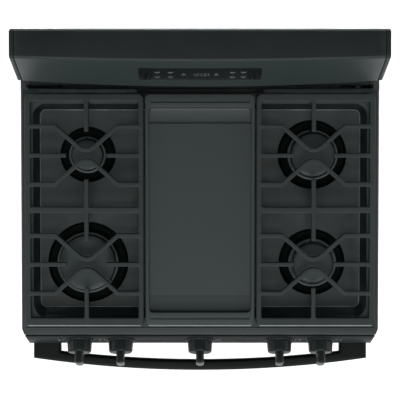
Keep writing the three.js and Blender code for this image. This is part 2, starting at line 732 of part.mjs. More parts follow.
function makeBackguard() {
  const capWidth = 10;
  const shellX = guardX - capWidth - gap;
  const shellSheet = drawnAlongX(sheetOutline(guardProfile, 1.6), -shellX, shellX, { steps: 8 });
  let shell = toSolid(bowForward(shellSheet));
  shell = shell.subtract(block(-ventX, ventX, 266, 288, 900, 960));
  addPart('backguard_shell', shell, 'greyPanel');
  const silhouette = [...guardProfile.slice(1), [guardRearY, 897]];
  const edges = bevel(2, 0, capWidth);
  for (const [name, x0] of [['left', -guardX], ['right', guardX - capWidth]]) {
    const cap = drawnAlongX(silhouette, x0 + 2, x0 + capWidth, edges);
    addPart(`backguard_end_${name}`, bowForward(cap), 'blackPlastic');
  }
  addPart('backguard_rear_cover',
    block(-366, 366, guardRearY + gap, backY, bodyTopZ - 8, rangeHeight - 3), 'zincSteel');
  const [top, bottom] = [guardProfile[3], guardProfile[4]];
  const length = Math.hypot(bottom[0] - top[0], bottom[1] - top[1]);
  const down = [(bottom[0] - top[0]) / length, (bottom[1] - top[1]) / length];
  const outward = [down[1], -down[0]];
  const onFace = (along, out) => [
    top[0] + down[0] * along + outward[0] * out, top[1] + down[1] * along + outward[1] * out,
  ];
  const glassSection = [onFace(36, gap), onFace(36, 2.2), onFace(93, 2.2), onFace(93, gap)];
  addPart('control_glass', bowForward(drawnAlongX(glassSection, -120.5, 120.5, { steps: 4 })), 'blackGlass');
}

// ---- Connections at the back ----

function makeInlets() {
  const gas = addPart('gas_inlet', turned([
    [0, 0], [18, 0], [22, 4], [22, 26], [13, 30], [13, 40], [10.5, 40], [10.5, 66], [7, 66], [7, 44], [0, 44],
  ], 12), 'brass');
  gas.position.set(300, 298, 150);
  gas.rotation.x = -Math.PI / 2;
  const power = addPart('power_inlet', turned([
    [0, 0], [9, 0], [9, 10], [13, 10], [13, 14], [7, 15.5], [4, 15.5], [4, 6], [0, 6],
  ], 10), 'blackPlastic');
  power.position.set(-250, 350.6, 110);
  power.rotation.x = -Math.PI / 2;
}

makeBase();
makeLegs();
makeSidePanel('side_panel_left', -1);
makeSidePanel('side_panel_right', 1);
makeRearPanel();
makeOvenLiner();
makeOvenFloor();
makeOvenFront();
makeOvenBurners();
rackZs.forEach((z, i) => makeRack(i === 0 ? 'oven_rack_lower' : 'oven_rack_upper', z));
makeDoor();
makeDoorHandle();
makeDrawer();
makeCooktop();
makeBurners();
makeGrate('grate_left', -1);
makeGrate('grate_right', 1);
makeGriddle();
makeManifoldPanel();
makeGasManifold();
makeKnobs();
makeBackguard();
makeInlets();

export default range;
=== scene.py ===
import json
import math
import bmesh
import bpy
from mathutils import Matrix, Vector


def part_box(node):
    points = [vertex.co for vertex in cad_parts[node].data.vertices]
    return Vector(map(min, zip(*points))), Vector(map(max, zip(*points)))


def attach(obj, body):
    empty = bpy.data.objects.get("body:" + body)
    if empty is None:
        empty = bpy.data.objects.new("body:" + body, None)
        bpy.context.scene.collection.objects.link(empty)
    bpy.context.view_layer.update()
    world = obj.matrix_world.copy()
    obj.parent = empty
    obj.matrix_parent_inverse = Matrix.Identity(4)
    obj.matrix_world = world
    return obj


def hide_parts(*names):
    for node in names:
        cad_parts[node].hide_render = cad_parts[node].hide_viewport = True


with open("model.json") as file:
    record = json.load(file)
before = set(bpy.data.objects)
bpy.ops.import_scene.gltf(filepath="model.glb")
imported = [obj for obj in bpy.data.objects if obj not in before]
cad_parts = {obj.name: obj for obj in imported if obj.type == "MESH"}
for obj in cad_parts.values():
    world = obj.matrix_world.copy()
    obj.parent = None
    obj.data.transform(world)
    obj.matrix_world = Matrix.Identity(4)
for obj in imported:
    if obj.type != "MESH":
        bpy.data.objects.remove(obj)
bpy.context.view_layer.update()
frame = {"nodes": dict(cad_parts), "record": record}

nodes = frame["nodes"]
joints = {joint["name"]: joint for joint in frame["record"]["behaviour"]["joints"]}
scene = bpy.context.scene
mm = 0.001

# camera, light and floor

stageSettings = {
    "cameraHeight": 3.92,
    "cameraY": 0.230,        # over the back of the cooktop
    "lens": 127.44,
    "tilt": 2.4,             # degrees towards the front
    "shift": -0.1,
    "floorTone": (0.95, 0.95, 0.95),
    "roomTone": (0.86, 0.97, 0.97),
    "roomStrength": 0.20,
    "skyShown": 0.95,        # what the camera sees past the floor's edge
    # name: place, aim, size, power
    "softboxes": {
        "topSoftbox": ((0, -1.3, 6.0), (0, -0.4, 0), (4.0, 3.2), 60),
        "frontSoftbox": ((0, -3.6, 2.6), (0, 0, 0.9), (3.6, 1.6), 112),
        "highFrontSoftbox": ((0, -2.7, 4.2), (0, 0, 0.9), (3.2, 1.2), 96),
        "leftSoftbox": ((-3.2, 0.2, 1.7), (-0.5, 0, 0), (2.4, 1.2), 54),
        "rightSoftbox": ((3.2, 0.2, 1.7), (0.5, 0, 0), (2.4, 1.2), 54),
        "backSoftbox": ((0, 2.8, 1.6), (0, 0.7, 0), (3.2, 0.8), 95),
    },
}


def makeCamera():
    camera = bpy.data.cameras.new("camera")
    camera.lens = stageSettings["lens"]
    camera.sensor_width = 36.0
    camera.shift_y = stageSettings["shift"]
    camera.clip_end = 50.0
    holder = bpy.data.objects.new("camera", camera)
    holder.location = (0, stageSettings["cameraY"], stageSettings["cameraHeight"])
    holder.rotation_euler = (-math.radians(stageSettings["tilt"]), 0, 0)
    scene.collection.objects.link(holder)
    scene.camera = holder


def makeAreaLight(name, place, aim, size, power):
    light = bpy.data.lights.new(name, "AREA")
    light.shape = "RECTANGLE"
    light.size, light.size_y = size
    light.energy = power
    holder = bpy.data.objects.new(name, light)
    holder.location = place
    holder.rotation_euler = (Vector(aim) - Vector(place)).to_track_quat("-Z", "Y").to_euler()
    scene.collection.objects.link(holder)


def makeStage():
    scene.view_settings.view_transform = "Standard"
    world = bpy.data.worlds.new("studio")
    world.use_nodes = True
    tree = world.node_tree
    room = tree.nodes["Background"]
    room.inputs["Color"].default_value = (*stageSettings["roomTone"], 1)
    room.inputs["Strength"].default_value = stageSettings["roomStrength"]
    sky = tree.nodes.new("ShaderNodeBackground")
    sky.inputs["Color"].default_value = (1, 1, 1, 1)
    sky.inputs["Strength"].default_value = stageSettings["skyShown"]
    rays = tree.nodes.new("ShaderNodeLightPath")
    either = tree.nodes.new("ShaderNodeMixShader")
    tree.links.new(rays.outputs["Is Camera Ray"], either.inputs[0])
    tree.links.new(room.outputs[0], either.inputs[1])
    tree.links.new(sky.outputs[0], either.inputs[2])
    tree.links.new(either.outputs[0], tree.nodes["World Output"].inputs["Surface"])
    scene.world = world
    bm = bmesh.new()
    bmesh.ops.create_grid(bm, x_segments=1, y_segments=1, size=9)
    mesh = bpy.data.meshes.new("floor")
    bm.to_mesh(mesh)
    bm.free()
    floor = bpy.data.objects.new("floor", mesh)
    floorFinish = bpy.data.materials.new("floorFinish")
    floorFinish.use_nodes = True
    shader = floorFinish.node_tree.nodes["Principled BSDF"]
    shader.inputs["Base Color"].default_value = (*stageSettings["floorTone"], 1)
    shader.inputs["Roughness"].default_value = 0.9
    mesh.materials.append(floorFinish)
    scene.collection.objects.link(floor)
    for name, (place, aim, size, power) in stageSettings["softboxes"].items():
        makeAreaLight(name, place, aim, size, power)


makeCamera()
makeStage()
print("stage ready")

# shared shader groups


def startGroup(name, inputs, outputs):
    group = bpy.data.node_groups.new(name, "ShaderNodeTree")
    for label, kind, value in inputs:
        socket = group.interface.new_socket(name=label, in_out="INPUT", socket_type=kind)
        socket.default_value = value
    for label, kind in outputs:
        group.interface.new_socket(name=label, in_out="OUTPUT", socket_type=kind)
    return group, group.nodes.new("NodeGroupInput"), group.nodes.new("NodeGroupOutput")


def mathNode(tree, operation, first, second=None, clamp=False):
    node = tree.nodes.new("ShaderNodeMath")
    node.operation = operation
    node.use_clamp = clamp
    for socket, value in zip(node.inputs, (first, second)):
        if isinstance(value, (int, float)):
            socket.default_value = value
        elif value is not None:
            tree.links.new(value, socket)
    return node.outputs[0]


def noiseNode(tree, coordinates, scale, detail=3.0):
    node = tree.nodes.new("ShaderNodeTexNoise")
    node.inputs["Detail"].default_value = detail
    tree.links.new(coordinates, node.inputs["Vector"])
    if isinstance(scale, (int, float)):
        node.inputs["Scale"].default_value = scale
    else:
        tree.links.new(scale, node.inputs["Scale"])
    return node.outputs["Fac"]


# fine grain for the bump, and slow patches for colour and gloss
def makeGrainGroup():
    group, start, end = startGroup(
        "surfaceGrain",
        [("Fine Scale", "NodeSocketFloat", 900.0), ("Patch Scale", "NodeSocketFloat", 9.0)],
        [("Height", "NodeSocketFloat"), ("Patches", "NodeSocketFloat")])
    place = group.nodes.new("ShaderNodeTexCoord").outputs["Object"]
    fine = noiseNode(group, place, start.outputs["Fine Scale"], 2.0)
    patches = noiseNode(group, place, start.outputs["Patch Scale"], 4.0)
    spread = group.nodes.new("ShaderNodeMapRange")
    spread.inputs["From Min"].default_value = 0.3
    spread.inputs["From Max"].default_value = 0.7
    group.links.new(patches, spread.inputs["Value"])
    group.links.new(fine, end.inputs["Height"])
    group.links.new(spread.outputs["Result"], end.inputs["Patches"])
    return group


# rubbed, paler outer edges, broken up by noise
def makeEdgeGroup():
    group, start, end = startGroup(
        "edgeWear",
        [("Amount", "NodeSocketFloat", 0.5), ("Break Up", "NodeSocketFloat", 60.0)],
        [("Mask", "NodeSocketFloat")])
    place = group.nodes.new("ShaderNodeTexCoord").outputs["Object"]
    sharp = group.nodes.new("ShaderNodeMapRange")
    sharp.inputs["From Min"].default_value = 0.52
    sharp.inputs["From Max"].default_value = 0.62
    geometry = group.nodes.new("ShaderNodeNewGeometry")
    group.links.new(geometry.outputs["Pointiness"], sharp.inputs["Value"])
    broken = noiseNode(group, place, start.outputs["Break Up"])
    worn = mathNode(group, "MULTIPLY", sharp.outputs["Result"], broken)
    amount = mathNode(group, "MULTIPLY", worn, start.outputs["Amount"], clamp=True)
    group.links.new(amount, end.inputs["Mask"])
    return group


# a thin film of dust on faces that look up
def makeDustGroup():
    group, start, end = startGroup(
        "dustFilm", [("Amount", "NodeSocketFloat", 0.2)], [("Mask", "NodeSocketFloat")])
    place = group.nodes.new("ShaderNodeTexCoord").outputs["Object"]
    geometry = group.nodes.new("ShaderNodeNewGeometry")
    split = group.nodes.new("ShaderNodeSeparateXYZ")
    group.links.new(geometry.outputs["Normal"], split.inputs[0])
    upward = mathNode(group, "MAXIMUM", split.outputs["Z"], 0.0)
    drifts = noiseNode(group, place, 26.0, 6.0)
    film = mathNode(group, "MULTIPLY", upward, drifts)
    amount = mathNode(group, "MULTIPLY", film, start.outputs["Amount"], clamp=True)
    group.links.new(amount, end.inputs["Mask"])
    return group


# painted light and shade on faces that stand upright: their colour is pulled towards a set tone, darker for
# walls and sides that should lie in shade, lighter where a steep face should catch the light
def makeSteepShadingGroup():
    group, start, end = startGroup(
        "paintedSteepFaceShading", [("Amount", "NodeSocketFloat", 0.5)], [("Mask", "NodeSocketFloat")])
    geometry = group.nodes.new("ShaderNodeNewGeometry")
    split = group.nodes.new("ShaderNodeSeparateXYZ")
    group.links.new(geometry.outputs["Normal"], split.inputs[0])
    steep = group.nodes.new("ShaderNodeMapRange")
    steep.inputs["From Min"].default_value = 0.45
    steep.inputs["From Max"].default_value = 0.92
    steep.inputs["To Min"].default_value = 1.0
    steep.inputs["To Max"].default_value = 0.0
    group.links.new(mathNode(group, "ABSOLUTE", split.outputs["Z"]), steep.inputs["Value"])
    amount = mathNode(group, "MULTIPLY", steep.outputs["Result"], start.outputs["Amount"], clamp=True)
    group.links.new(amount, end.inputs["Mask"])
    return group


grainGroup = makeGrainGroup()
edgeGroup = makeEdgeGroup()
dustGroup = makeDustGroup()
steepShadingGroup = makeSteepShadingGroup()


def addGroup(tree, group, **values):
    node = tree.nodes.new("ShaderNodeGroup")
    node.node_tree = group
    for label, value in values.items():
        node.inputs[label].default_value = value
    return node


def mixColours(tree, factor, first, second):
    node = tree.nodes.new("ShaderNodeMix")
    node.data_type = "RGBA"
    tree.links.new(factor, node.inputs["Factor"])
    for socket, value in ((node.inputs[6], first), (node.inputs[7], second)):
        if isinstance(value, tuple):
            socket.default_value = (*value, 1)
        else:
            tree.links.new(value, socket)
    return node.outputs[2]


# finishes: two tones that drift into each other, grain, gloss, painted light and shade on steep faces, wear
# and dust

# what a finish has unless it says otherwise; its tones are multiplied by its shade
finishDefaults = {"shade": 1.0, "bump": 0.05, "dust": 0.01, "specular": 0.5, "metallic": 0.0}

# steepShading paints light and shade by how steep a face is: darker walls and sides for the pan, grates,
# griddle and caps, and lighter steep faces in panelPaint such as the backguard's sloping face
finishSettings = {
    "bodyPaint": {"tones": ((0.006, 0.008, 0.008), (0.008, 0.0104, 0.0104)), "shade": 0.48,
        "rough": (0.34, 0.44), "fine": 1500, "edge": ((0.05, 0.06, 0.06), 0.4), "specular": 0.06},
    "panelPaint": {"tones": ((0.0075, 0.0098, 0.0098), (0.0095, 0.0122, 0.0122)), "shade": 0.95,
        "rough": (0.34, 0.44), "fine": 1900, "edge": ((0.06, 0.07, 0.07), 0.4), "specular": 0.12,
        "steepShading": ((0.017, 0.0225, 0.0225), 1.0)},
    "slopePaint": {"tones": ((0.011, 0.0142, 0.0142), (0.0135, 0.0172, 0.0172)), "shade": 0.61,
        "rough": (0.44, 0.54), "fine": 1900, "edge": ((0.06, 0.07, 0.07), 0.4), "specular": 0.02},
    "topEnamel": {"tones": ((0.015, 0.0195, 0.0195), (0.018, 0.023, 0.023)), "shade": 1.075,
        "rough": (0.26, 0.36), "fine": 700, "bump": 0.03, "edge": ((0.08, 0.1, 0.1), 0.6),
        "dust": 0.02, "specular": 0.2, "steepShading": ((0.0015, 0.003, 0.0028), 0.9)},
    # painted highlight: an enamel much paler than the pan's, for the bead round the pan's floor
    "beadHighlightEnamel": {"tones": ((0.05, 0.062, 0.062), (0.065, 0.08, 0.08)), "rough": (0.2, 0.3),
        "fine": 700, "bump": 0.03, "edge": ((0.1, 0.12, 0.12), 0.3), "dust": 0.0, "specular": 0.6},
    # painted highlight: a pale finish for the bars along the front edges of the grates and griddle
    "paintedEdgeHighlight": {"tones": ((0.125, 0.15, 0.148), (0.17, 0.2, 0.196)), "rough": (0.34, 0.48),
        "fine": 1100, "bump": 0.1, "edge": ((0.2, 0.22, 0.22), 0.3), "dust": 0.0, "specular": 0.4},
    # near-black burner dishes: dark enamel with painted shade of the recess in its tone
    "bowlEnamelAndShade": {"tones": ((0.0002, 0.002, 0.0015), (0.0006, 0.0034, 0.0026)),
        "rough": (0.22, 0.34), "fine": 600, "bump": 0.03, "edge": ((0.01, 0.02, 0.02), 0.3),
        "dust": 0.0, "specular": 0.02},
    "grateIron": {"tones": ((0.0135, 0.0176, 0.0176), (0.018, 0.023, 0.023)), "shade": 0.935,
        "rough": (0.5, 0.66), "fine": 850, "bump": 0.3, "edge": ((0.05, 0.06, 0.06), 0.6),
        "dust": 0.02, "specular": 0.18, "steepShading": ((0.002, 0.0032, 0.003), 0.92)},
    "griddleCoat": {"tones": ((0.018, 0.0236, 0.0236), (0.021, 0.027, 0.027)), "shade": 1.012,
        "rough": (0.46, 0.58), "fine": 1300, "bump": 0.1, "edge": ((0.06, 0.07, 0.07), 0.5),
        "specular": 0.22, "steepShading": ((0.003, 0.0045, 0.0043), 0.85)},
    "burnerMetal": {"tones": ((0.02, 0.025, 0.025), (0.028, 0.034, 0.034)), "shade": 1.32,
        "rough": (0.42, 0.56), "fine": 1400, "bump": 0.15, "edge": ((0.09, 0.1, 0.1), 0.6),
        "dust": 0.02, "specular": 0.3},
    "capEnamel": {"tones": ((0.016, 0.0208, 0.0208), (0.02, 0.0255, 0.0255)), "shade": 1.41,
        "rough": (0.4, 0.52), "fine": 1000, "bump": 0.1, "edge": ((0.06, 0.07, 0.07), 0.5),
        "dust": 0.02, "specular": 0.15, "steepShading": ((0.003, 0.0045, 0.0043), 0.85)},
    "knobPlastic": {"tones": ((0.007, 0.0092, 0.0092), (0.0092, 0.012, 0.012)), "shade": 0.9,
        "rough": (0.34, 0.44), "fine": 2200, "bump": 0.06, "edge": ((0.05, 0.06, 0.06), 0.4),
        "specular": 0.12},
    "trimPlastic": {"tones": ((0.007, 0.0094, 0.0094), (0.0092, 0.012, 0.012)), "shade": 0.9,
        "rough": (0.42, 0.54), "fine": 2400, "bump": 0.12, "edge": ((0.05, 0.06, 0.06), 0.3),
        "specular": 0.15},
    "controlGlass": {"tones": ((0.0025, 0.004, 0.004), (0.0034, 0.0052, 0.0052)), "shade": 0.8,
        "rough": (0.07, 0.12), "fine": 500, "bump": 0.004, "edge": ((0.03, 0.04, 0.04), 0.3),
        "specular": 0.14},
    "ovenEnamel": {"tones": ((0.02, 0.023, 0.03), (0.03, 0.034, 0.042)), "rough": (0.24, 0.4),
        "fine": 500, "edge": ((0.09, 0.09, 0.1), 0.4), "dust": 0.02, "pattern": "speckle"},
    "zincSteel": {"tones": ((0.2, 0.215, 0.22), (0.29, 0.305, 0.31)), "rough": (0.34, 0.52),
        "fine": 900, "bump": 0.03, "edge": ((0.62, 0.63, 0.64), 0.5), "dust": 0.06,
        "metallic": 1.0, "pattern": "spangle"},
    "chromeWire": {"tones": ((0.55, 0.56, 0.57), (0.66, 0.67, 0.68)), "rough": (0.14, 0.26),
        "fine": 700, "bump": 0.02, "edge": ((0.75, 0.75, 0.75), 0.3), "dust": 0.0, "metallic": 1.0},
    "machinedBrass": {"tones": ((0.52, 0.37, 0.15), (0.66, 0.48, 0.2)), "rough": (0.24, 0.38),
        "fine": 1200, "bump": 0.04, "edge": ((0.8, 0.62, 0.3), 0.5), "dust": 0.03, "metallic": 1.0},
    "screwSteel": {"tones": ((0.3, 0.31, 0.32), (0.42, 0.43, 0.44)), "rough": (0.3, 0.44),
        "fine": 1500, "edge": ((0.6, 0.6, 0.6), 0.6), "dust": 0.03, "metallic": 1.0},
    "gasketBraid": {"tones": ((0.1, 0.1, 0.095), (0.2, 0.2, 0.185)), "rough": (0.85, 0.98),
        "fine": 1200, "bump": 0.7, "edge": ((0.28, 0.28, 0.26), 0.3), "dust": 0.05,
        "pattern": "braid"},
    "igniterCeramic": {"tones": ((0.003, 0.0032, 0.0032), (0.006, 0.006, 0.006)),
        "rough": (0.5, 0.65), "fine": 1800, "edge": ((0.05, 0.05, 0.05), 0.4), "dust": 0.0,
        "specular": 0.2},
    "portShadow": {"tones": ((0.0012, 0.0014, 0.0014), (0.0025, 0.0028, 0.0028)),
        "rough": (0.7, 0.85), "fine": 1500, "edge": ((0.01, 0.01, 0.01), 0.2), "dust": 0.0,
        "specular": 0.1},
    "keyMark": {"tones": ((0.075, 0.084, 0.084), (0.105, 0.115, 0.115)), "rough": (0.5, 0.6),
        "fine": 2500, "bump": 0.02, "edge": ((0.2, 0.2, 0.2), 0.1), "dust": 0.0},
    "panelMark": {"tones": ((0.16, 0.17, 0.17), (0.2, 0.21, 0.21)), "rough": (0.5, 0.6),
        "fine": 2500, "bump": 0.02, "edge": ((0.2, 0.2, 0.2), 0.1), "dust": 0.0},
}


def addPattern(tree, pattern, colour, height):
    place = tree.nodes.new("ShaderNodeTexCoord").outputs["Object"]
    if pattern == "speckle":         # pale fired-in dots
        cells = tree.nodes.new("ShaderNodeTexVoronoi")
        cells.inputs["Scale"].default_value = 420.0
        tree.links.new(place, cells.inputs["Vector"])
        dots = mathNode(tree, "LESS_THAN", cells.outputs["Distance"], 0.16)
        return mixColours(tree, dots, colour, (0.22, 0.23, 0.25)), height
    if pattern == "spangle":         # zinc crystals
        cells = tree.nodes.new("ShaderNodeTexVoronoi")
        cells.inputs["Scale"].default_value = 70.0
        tree.links.new(place, cells.inputs["Vector"])
        split = tree.nodes.new("ShaderNodeSeparateColor")
        tree.links.new(cells.outputs["Color"], split.inputs[0])
        faint = mathNode(tree, "MULTIPLY", split.outputs[0], 0.28)
        return mixColours(tree, faint, colour, (0.42, 0.44, 0.45)), height
    weave = tree.nodes.new("ShaderNodeTexWave")
    weave.inputs["Scale"].default_value = 190.0
    weave.inputs["Distortion"].default_value = 3.0
    weave.bands_direction = "DIAGONAL"
    tree.links.new(place, weave.inputs["Vector"])
    return colour, mathNode(tree, "ADD", height, weave.outputs["Fac"])


def makeFinish(name, settings):
    settings = {**finishDefaults, **settings}
    finish = bpy.data.materials.new(name)
    finish.use_nodes = True
    tree = finish.node_tree
    shader = tree.nodes["Principled BSDF"]
    grain = addGroup(tree, grainGroup, **{"Fine Scale": settings["fine"], "Patch Scale": 7.0})
    tones = [tuple(channel * settings["shade"] for channel in tone) for tone in settings["tones"]]
    colour = mixColours(tree, grain.outputs["Patches"], *tones)
    height = grain.outputs["Height"]
    if "pattern" in settings:
        colour, height = addPattern(tree, settings["pattern"], colour, height)
    # painted light and shade by steepness, mixed into the colour
    if "steepShading" in settings:
        steepShadeTone, steepShadeAmount = settings["steepShading"]
        steepShading = addGroup(tree, steepShadingGroup, **{"Amount": steepShadeAmount})
        colour = mixColours(tree, steepShading.outputs["Mask"], colour, steepShadeTone)
    edgeTone, edgeAmount = settings["edge"]
    worn = addGroup(tree, edgeGroup, **{"Amount": edgeAmount})
    colour = mixColours(tree, worn.outputs["Mask"], colour, edgeTone)
    if settings["dust"]:
        dust = addGroup(tree, dustGroup, **{"Amount": settings["dust"]})
        colour = mixColours(tree, dust.outputs["Mask"], colour, (0.20, 0.20, 0.19))
    tree.links.new(colour, shader.inputs["Base Color"])
    gloss = tree.nodes.new("ShaderNodeMapRange")
    gloss.inputs["To Min"].default_value, gloss.inputs["To Max"].default_value = settings["rough"]
    tree.links.new(grain.outputs["Patches"], gloss.inputs["Value"])
    tree.links.new(gloss.outputs["Result"], shader.inputs["Roughness"])
    bump = tree.nodes.new("ShaderNodeBump")
    bump.inputs["Strength"].default_value = settings["bump"]
    bump.inputs["Distance"].default_value = 0.0004
    tree.links.new(height, bump.inputs["Height"])
    tree.links.new(bump.outputs["Normal"], shader.inputs["Normal"])
    shader.inputs["Metallic"].default_value = settings["metallic"]
    shader.inputs["Specular IOR Level"].default_value = settings["specular"]
    return finish


def makeGlass(name, tone, roughness):
    finish = bpy.data.materials.new(name)
    finish.use_nodes = True
    tree = finish.node_tree
    shader = tree.nodes["Principled BSDF"]
    shader.inputs["Base Color"].default_value = (*tone, 1)
    shader.inputs["Transmission Weight"].default_value = 1.0
    shader.inputs["IOR"].default_value = 1.46
    grain = addGroup(tree, grainGroup, **{"Fine Scale": 60.0, "Patch Scale": 12.0})
    gloss = tree.nodes.new("ShaderNodeMapRange")
    gloss.inputs["To Min"].default_value, gloss.inputs["To Max"].default_value = roughness
    tree.links.new(grain.outputs["Patches"], gloss.inputs["Value"])
    tree.links.new(gloss.outputs["Result"], shader.inputs["Roughness"])
    return finish


finishes = {}
for finishName, finishValues in finishSettings.items():
    finishes[finishName] = makeFinish(finishName, finishValues)
finishes["clearGlass"] = makeGlass("clearGlass", (0.78, 0.83, 0.81), (0.02, 0.06))
print("finishes ready")

# mesh tools


def linkPiece(name, bm, smoothAngle=35):
    bmesh.ops.recalc_face_normals(bm, faces=bm.faces)
    mesh = bpy.data.meshes.new(name)
    bm.to_mesh(mesh)
    bm.free()
    mesh.shade_smooth()
    mesh.set_sharp_from_angle(angle=math.radians(smoothAngle))
    piece = bpy.data.objects.new(name, mesh)
    scene.collection.objects.link(piece)
    return piece


def settle(piece, body, finish, replaced=()):
    piece.data.materials.clear()
    piece.data.materials.append(finishes[finish])
    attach(piece, body)
    if replaced:
        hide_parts(*replaced)
    return piece


# turns the modifiers' result into the piece's own plain mesh
def bakeModifiers(piece, smoothAngle=35):
    bpy.context.view_layer.update()
    depsgraph = bpy.context.evaluated_depsgraph_get()
    baked = bpy.data.meshes.new_from_object(piece.evaluated_get(depsgraph))
    piece.modifiers.clear()
    piece.data = baked
    baked.name = piece.name
    baked.shade_smooth()
    baked.set_sharp_from_angle(angle=math.radians(smoothAngle))
    return piece


def stay(point):
    return point


# a CAD solid with its edges rounded
def roundedCopy(nodeName, width, segments=2, angle=28, reshape=stay):
    bm = bmesh.new()
    bm.from_mesh(nodes[nodeName].data)
    bmesh.ops.remove_doubles(bm, verts=bm.verts, dist=0.000005)
    for vertex in bm.verts:
        vertex.co = reshape(vertex.co)
    bmesh.ops.dissolve_limit(bm, angle_limit=math.radians(0.6), verts=bm.verts, edges=bm.edges)
    piece = linkPiece(nodeName + "_finished", bm)
    bevel = piece.modifiers.new("edges", "BEVEL")
    bevel.width = width
    bevel.segments = segments
    bevel.limit_method = "ANGLE"
    bevel.angle_limit = math.radians(angle)
    bevel.miter_outer = "MITER_ARC"
    return bakeModifiers(piece)


def inMetres(rows):
    return [tuple(value * mm for value in row) for row in rows]


def addRings(bm, rings, closeEnds=True):
    loops = [[bm.verts.new(point) for point in ring] for ring in rings]
    count = len(loops[0])
    for lower, upper in zip(loops, loops[1:]):
        for i in range(count):
            j = (i + 1) % count
            bm.faces.new((lower[i], lower[j], upper[j], upper[i]))
    if closeEnds:
        bm.faces.new(list(reversed(loops[0])))
        bm.faces.new(loops[-1])
    return loops


# a profile of (radius, height) turned about an axis; wave = (count, depth) flutes its outer side
def addTurned(bm, profile, steps=64, place=stay, wave=None):
    outer = max(radius for radius, _ in profile)
    rings = []
    for radius, height in profile:
        if radius < 1e-7:
            rings.append([bm.verts.new(place(Vector((0, 0, height))))])
            continue
        ring = []
        for i in range(steps):
            angle = 2 * math.pi * i / steps
            reach = radius
            if wave and radius > 0.9 * outer:
                reach -= wave[1] * (0.5 + 0.5 * math.cos(wave[0] * angle)) ** 4
            point = Vector((reach * math.cos(angle), reach * math.sin(angle), height))
            ring.append(bm.verts.new(place(point)))
        rings.append(ring)
    if len(rings[0]) > 1 and len(rings[-1]) > 1:
        rings.append(rings[0])          # a ring with a hole through it
    for lower, upper in zip(rings, rings[1:]):
        for i in range(steps):
            j = (i + 1) % steps
            corners = [lower[i % len(lower)], lower[j % len(lower)]]
            corners += [upper[j % len(upper)], upper[i % len(upper)]]
            bm.faces.new([v for k, v in enumerate(corners) if v not in corners[:k]])


# a piece turned about an upright line, its profile in millimetres above a foot point
def turnedPiece(name, profile, foot, steps=96, smoothAngle=50):
    bm = bmesh.new()
    addTurned(bm, inMetres(profile), steps, lambda p: p + foot)
    return linkPiece(name, bm, smoothAngle)


# the same outline with each corner turned into a small arc
def roundCorners(points, radius, steps=4, closed=False):
    count = len(points)
    result = []
    for i, point in enumerate(points):
        if not closed and i in (0, count - 1):
            result.append(tuple(point))
            continue
        here = Vector(point)
        before = Vector(points[i - 1]) - here
        after = Vector(points[(i + 1) % count]) - here
        reach = min(radius, before.length * 0.45, after.length * 0.45)
        start = here + before.normalized() * reach
        finish = here + after.normalized() * reach
        for k in range(steps + 1):
            t = k / steps
            result.append(tuple((1 - t) ** 2 * start + 2 * t * (1 - t) * here + t * t * finish))
    return result


def offsetOutline(points, distance):
    moved = []
    count = len(points)
    for i, (x, y) in enumerate(points):
        before = Vector((x - points[i - 1][0], y - points[i - 1][1])).normalized()
        nextPoint = points[(i + 1) % count]
        after = Vector((nextPoint[0] - x, nextPoint[1] - y)).normalized()
        normal = Vector((-before.y - after.y, before.x + after.x))
        if normal.length < 1e-6:
            normal = Vector((-before.y, before.x))
        normal.normalize()
        reach = distance / max(0.35, normal.dot(Vector((-before.y, before.x))))
        moved.append((x + normal.x * reach, y + normal.y * reach))
    return moved


def anticlockwise(outline):
    area = sum(a[0] * b[1] - b[0] * a[1] for a, b in zip(outline, outline[1:] + outline[:1]))
    return outline if area > 0 else outline[::-1]


# an outline drawn up between two heights with rounded upper and lower edges
def addPlate(bm, outline, low, high, edge, steps=4, place=stay):
    outline = anticlockwise(outline)
    levels = []
    for k in range(steps + 1):
        turn = math.pi / 2 * k / steps
        levels.append((edge * (1 - math.sin(turn)), low + edge * (1 - math.cos(turn))))
    levels += [(inset, low + high - height) for inset, height in reversed(levels)]
    addRings(bm, [[place(Vector((x, y, height))) for x, y in offsetOutline(outline, inset)]
                  for inset, height in levels])


def roundedRectangle(halfX, halfY, radius, centre=(0, 0), steps=6):
    corners = [(halfX, halfY), (-halfX, halfY), (-halfX, -halfY), (halfX, -halfY)]
    outline = roundCorners(corners, radius, steps, closed=True)
    return [(x + centre[0], y + centre[1]) for x, y in outline]


# a round bar along a list of points
def addTube(bm, path, radius, sides=10):
    points = [Vector(p) for p in path]
    rings = []
    side = None
    for i, point in enumerate(points):
        along = (points[min(i + 1, len(points) - 1)] - points[max(i - 1, 0)]).normalized()
        if side is None:
            side = along.orthogonal().normalized()
        side = (side - along * side.dot(along)).normalized()
        other = along.cross(side)
        ring = []
        for k in range(sides):
            angle = 2 * math.pi * k / sides
            ring.append(point + radius * (math.cos(angle) * side + math.sin(angle) * other))
        rings.append(ring)
    addRings(bm, rings)


def addClosedTube(bm, path, radius, sides):
    rings = []
    count = len(path)
    up = Vector((0, 0, 1))
    for i, point in enumerate(path):
        along = (path[(i + 1) % count] - path[i - 1]).normalized()
        side = along.cross(up).normalized()
        rings.append([point + radius * (math.cos(a) * side + math.sin(a) * up)
                      for a in (2 * math.pi * k / sides for k in range(sides))])
    loops = addRings(bm, rings, closeEnds=False)
    for i in range(sides):
        j = (i + 1) % sides
        bm.faces.new((loops[-1][i], loops[-1][j], loops[0][j], loops[0][i]))


def spot(node):
    low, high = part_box(node)
    return low, high, (low + high) / 2


def addBlock(bm, low, high):
    corners = bmesh.ops.create_cube(bm, size=1)["verts"]
    for vertex in corners:
        vertex.co = Vector(low[i] if vertex.co[i] < 0 else high[i] for i in range(3))


# takes closed shapes away from a piece
def cutAway(piece, cutterBm, smoothAngle=35):
    cutter = linkPiece("cutter", cutterBm)
    modifier = piece.modifiers.new("cut", "BOOLEAN")
    modifier.operation = "DIFFERENCE"
    modifier.solver = "EXACT"
    modifier.object = cutter
    bakeModifiers(piece, smoothAngle)
    bpy.data.objects.remove(cutter)
    return piece


# geometry nodes for what repeats


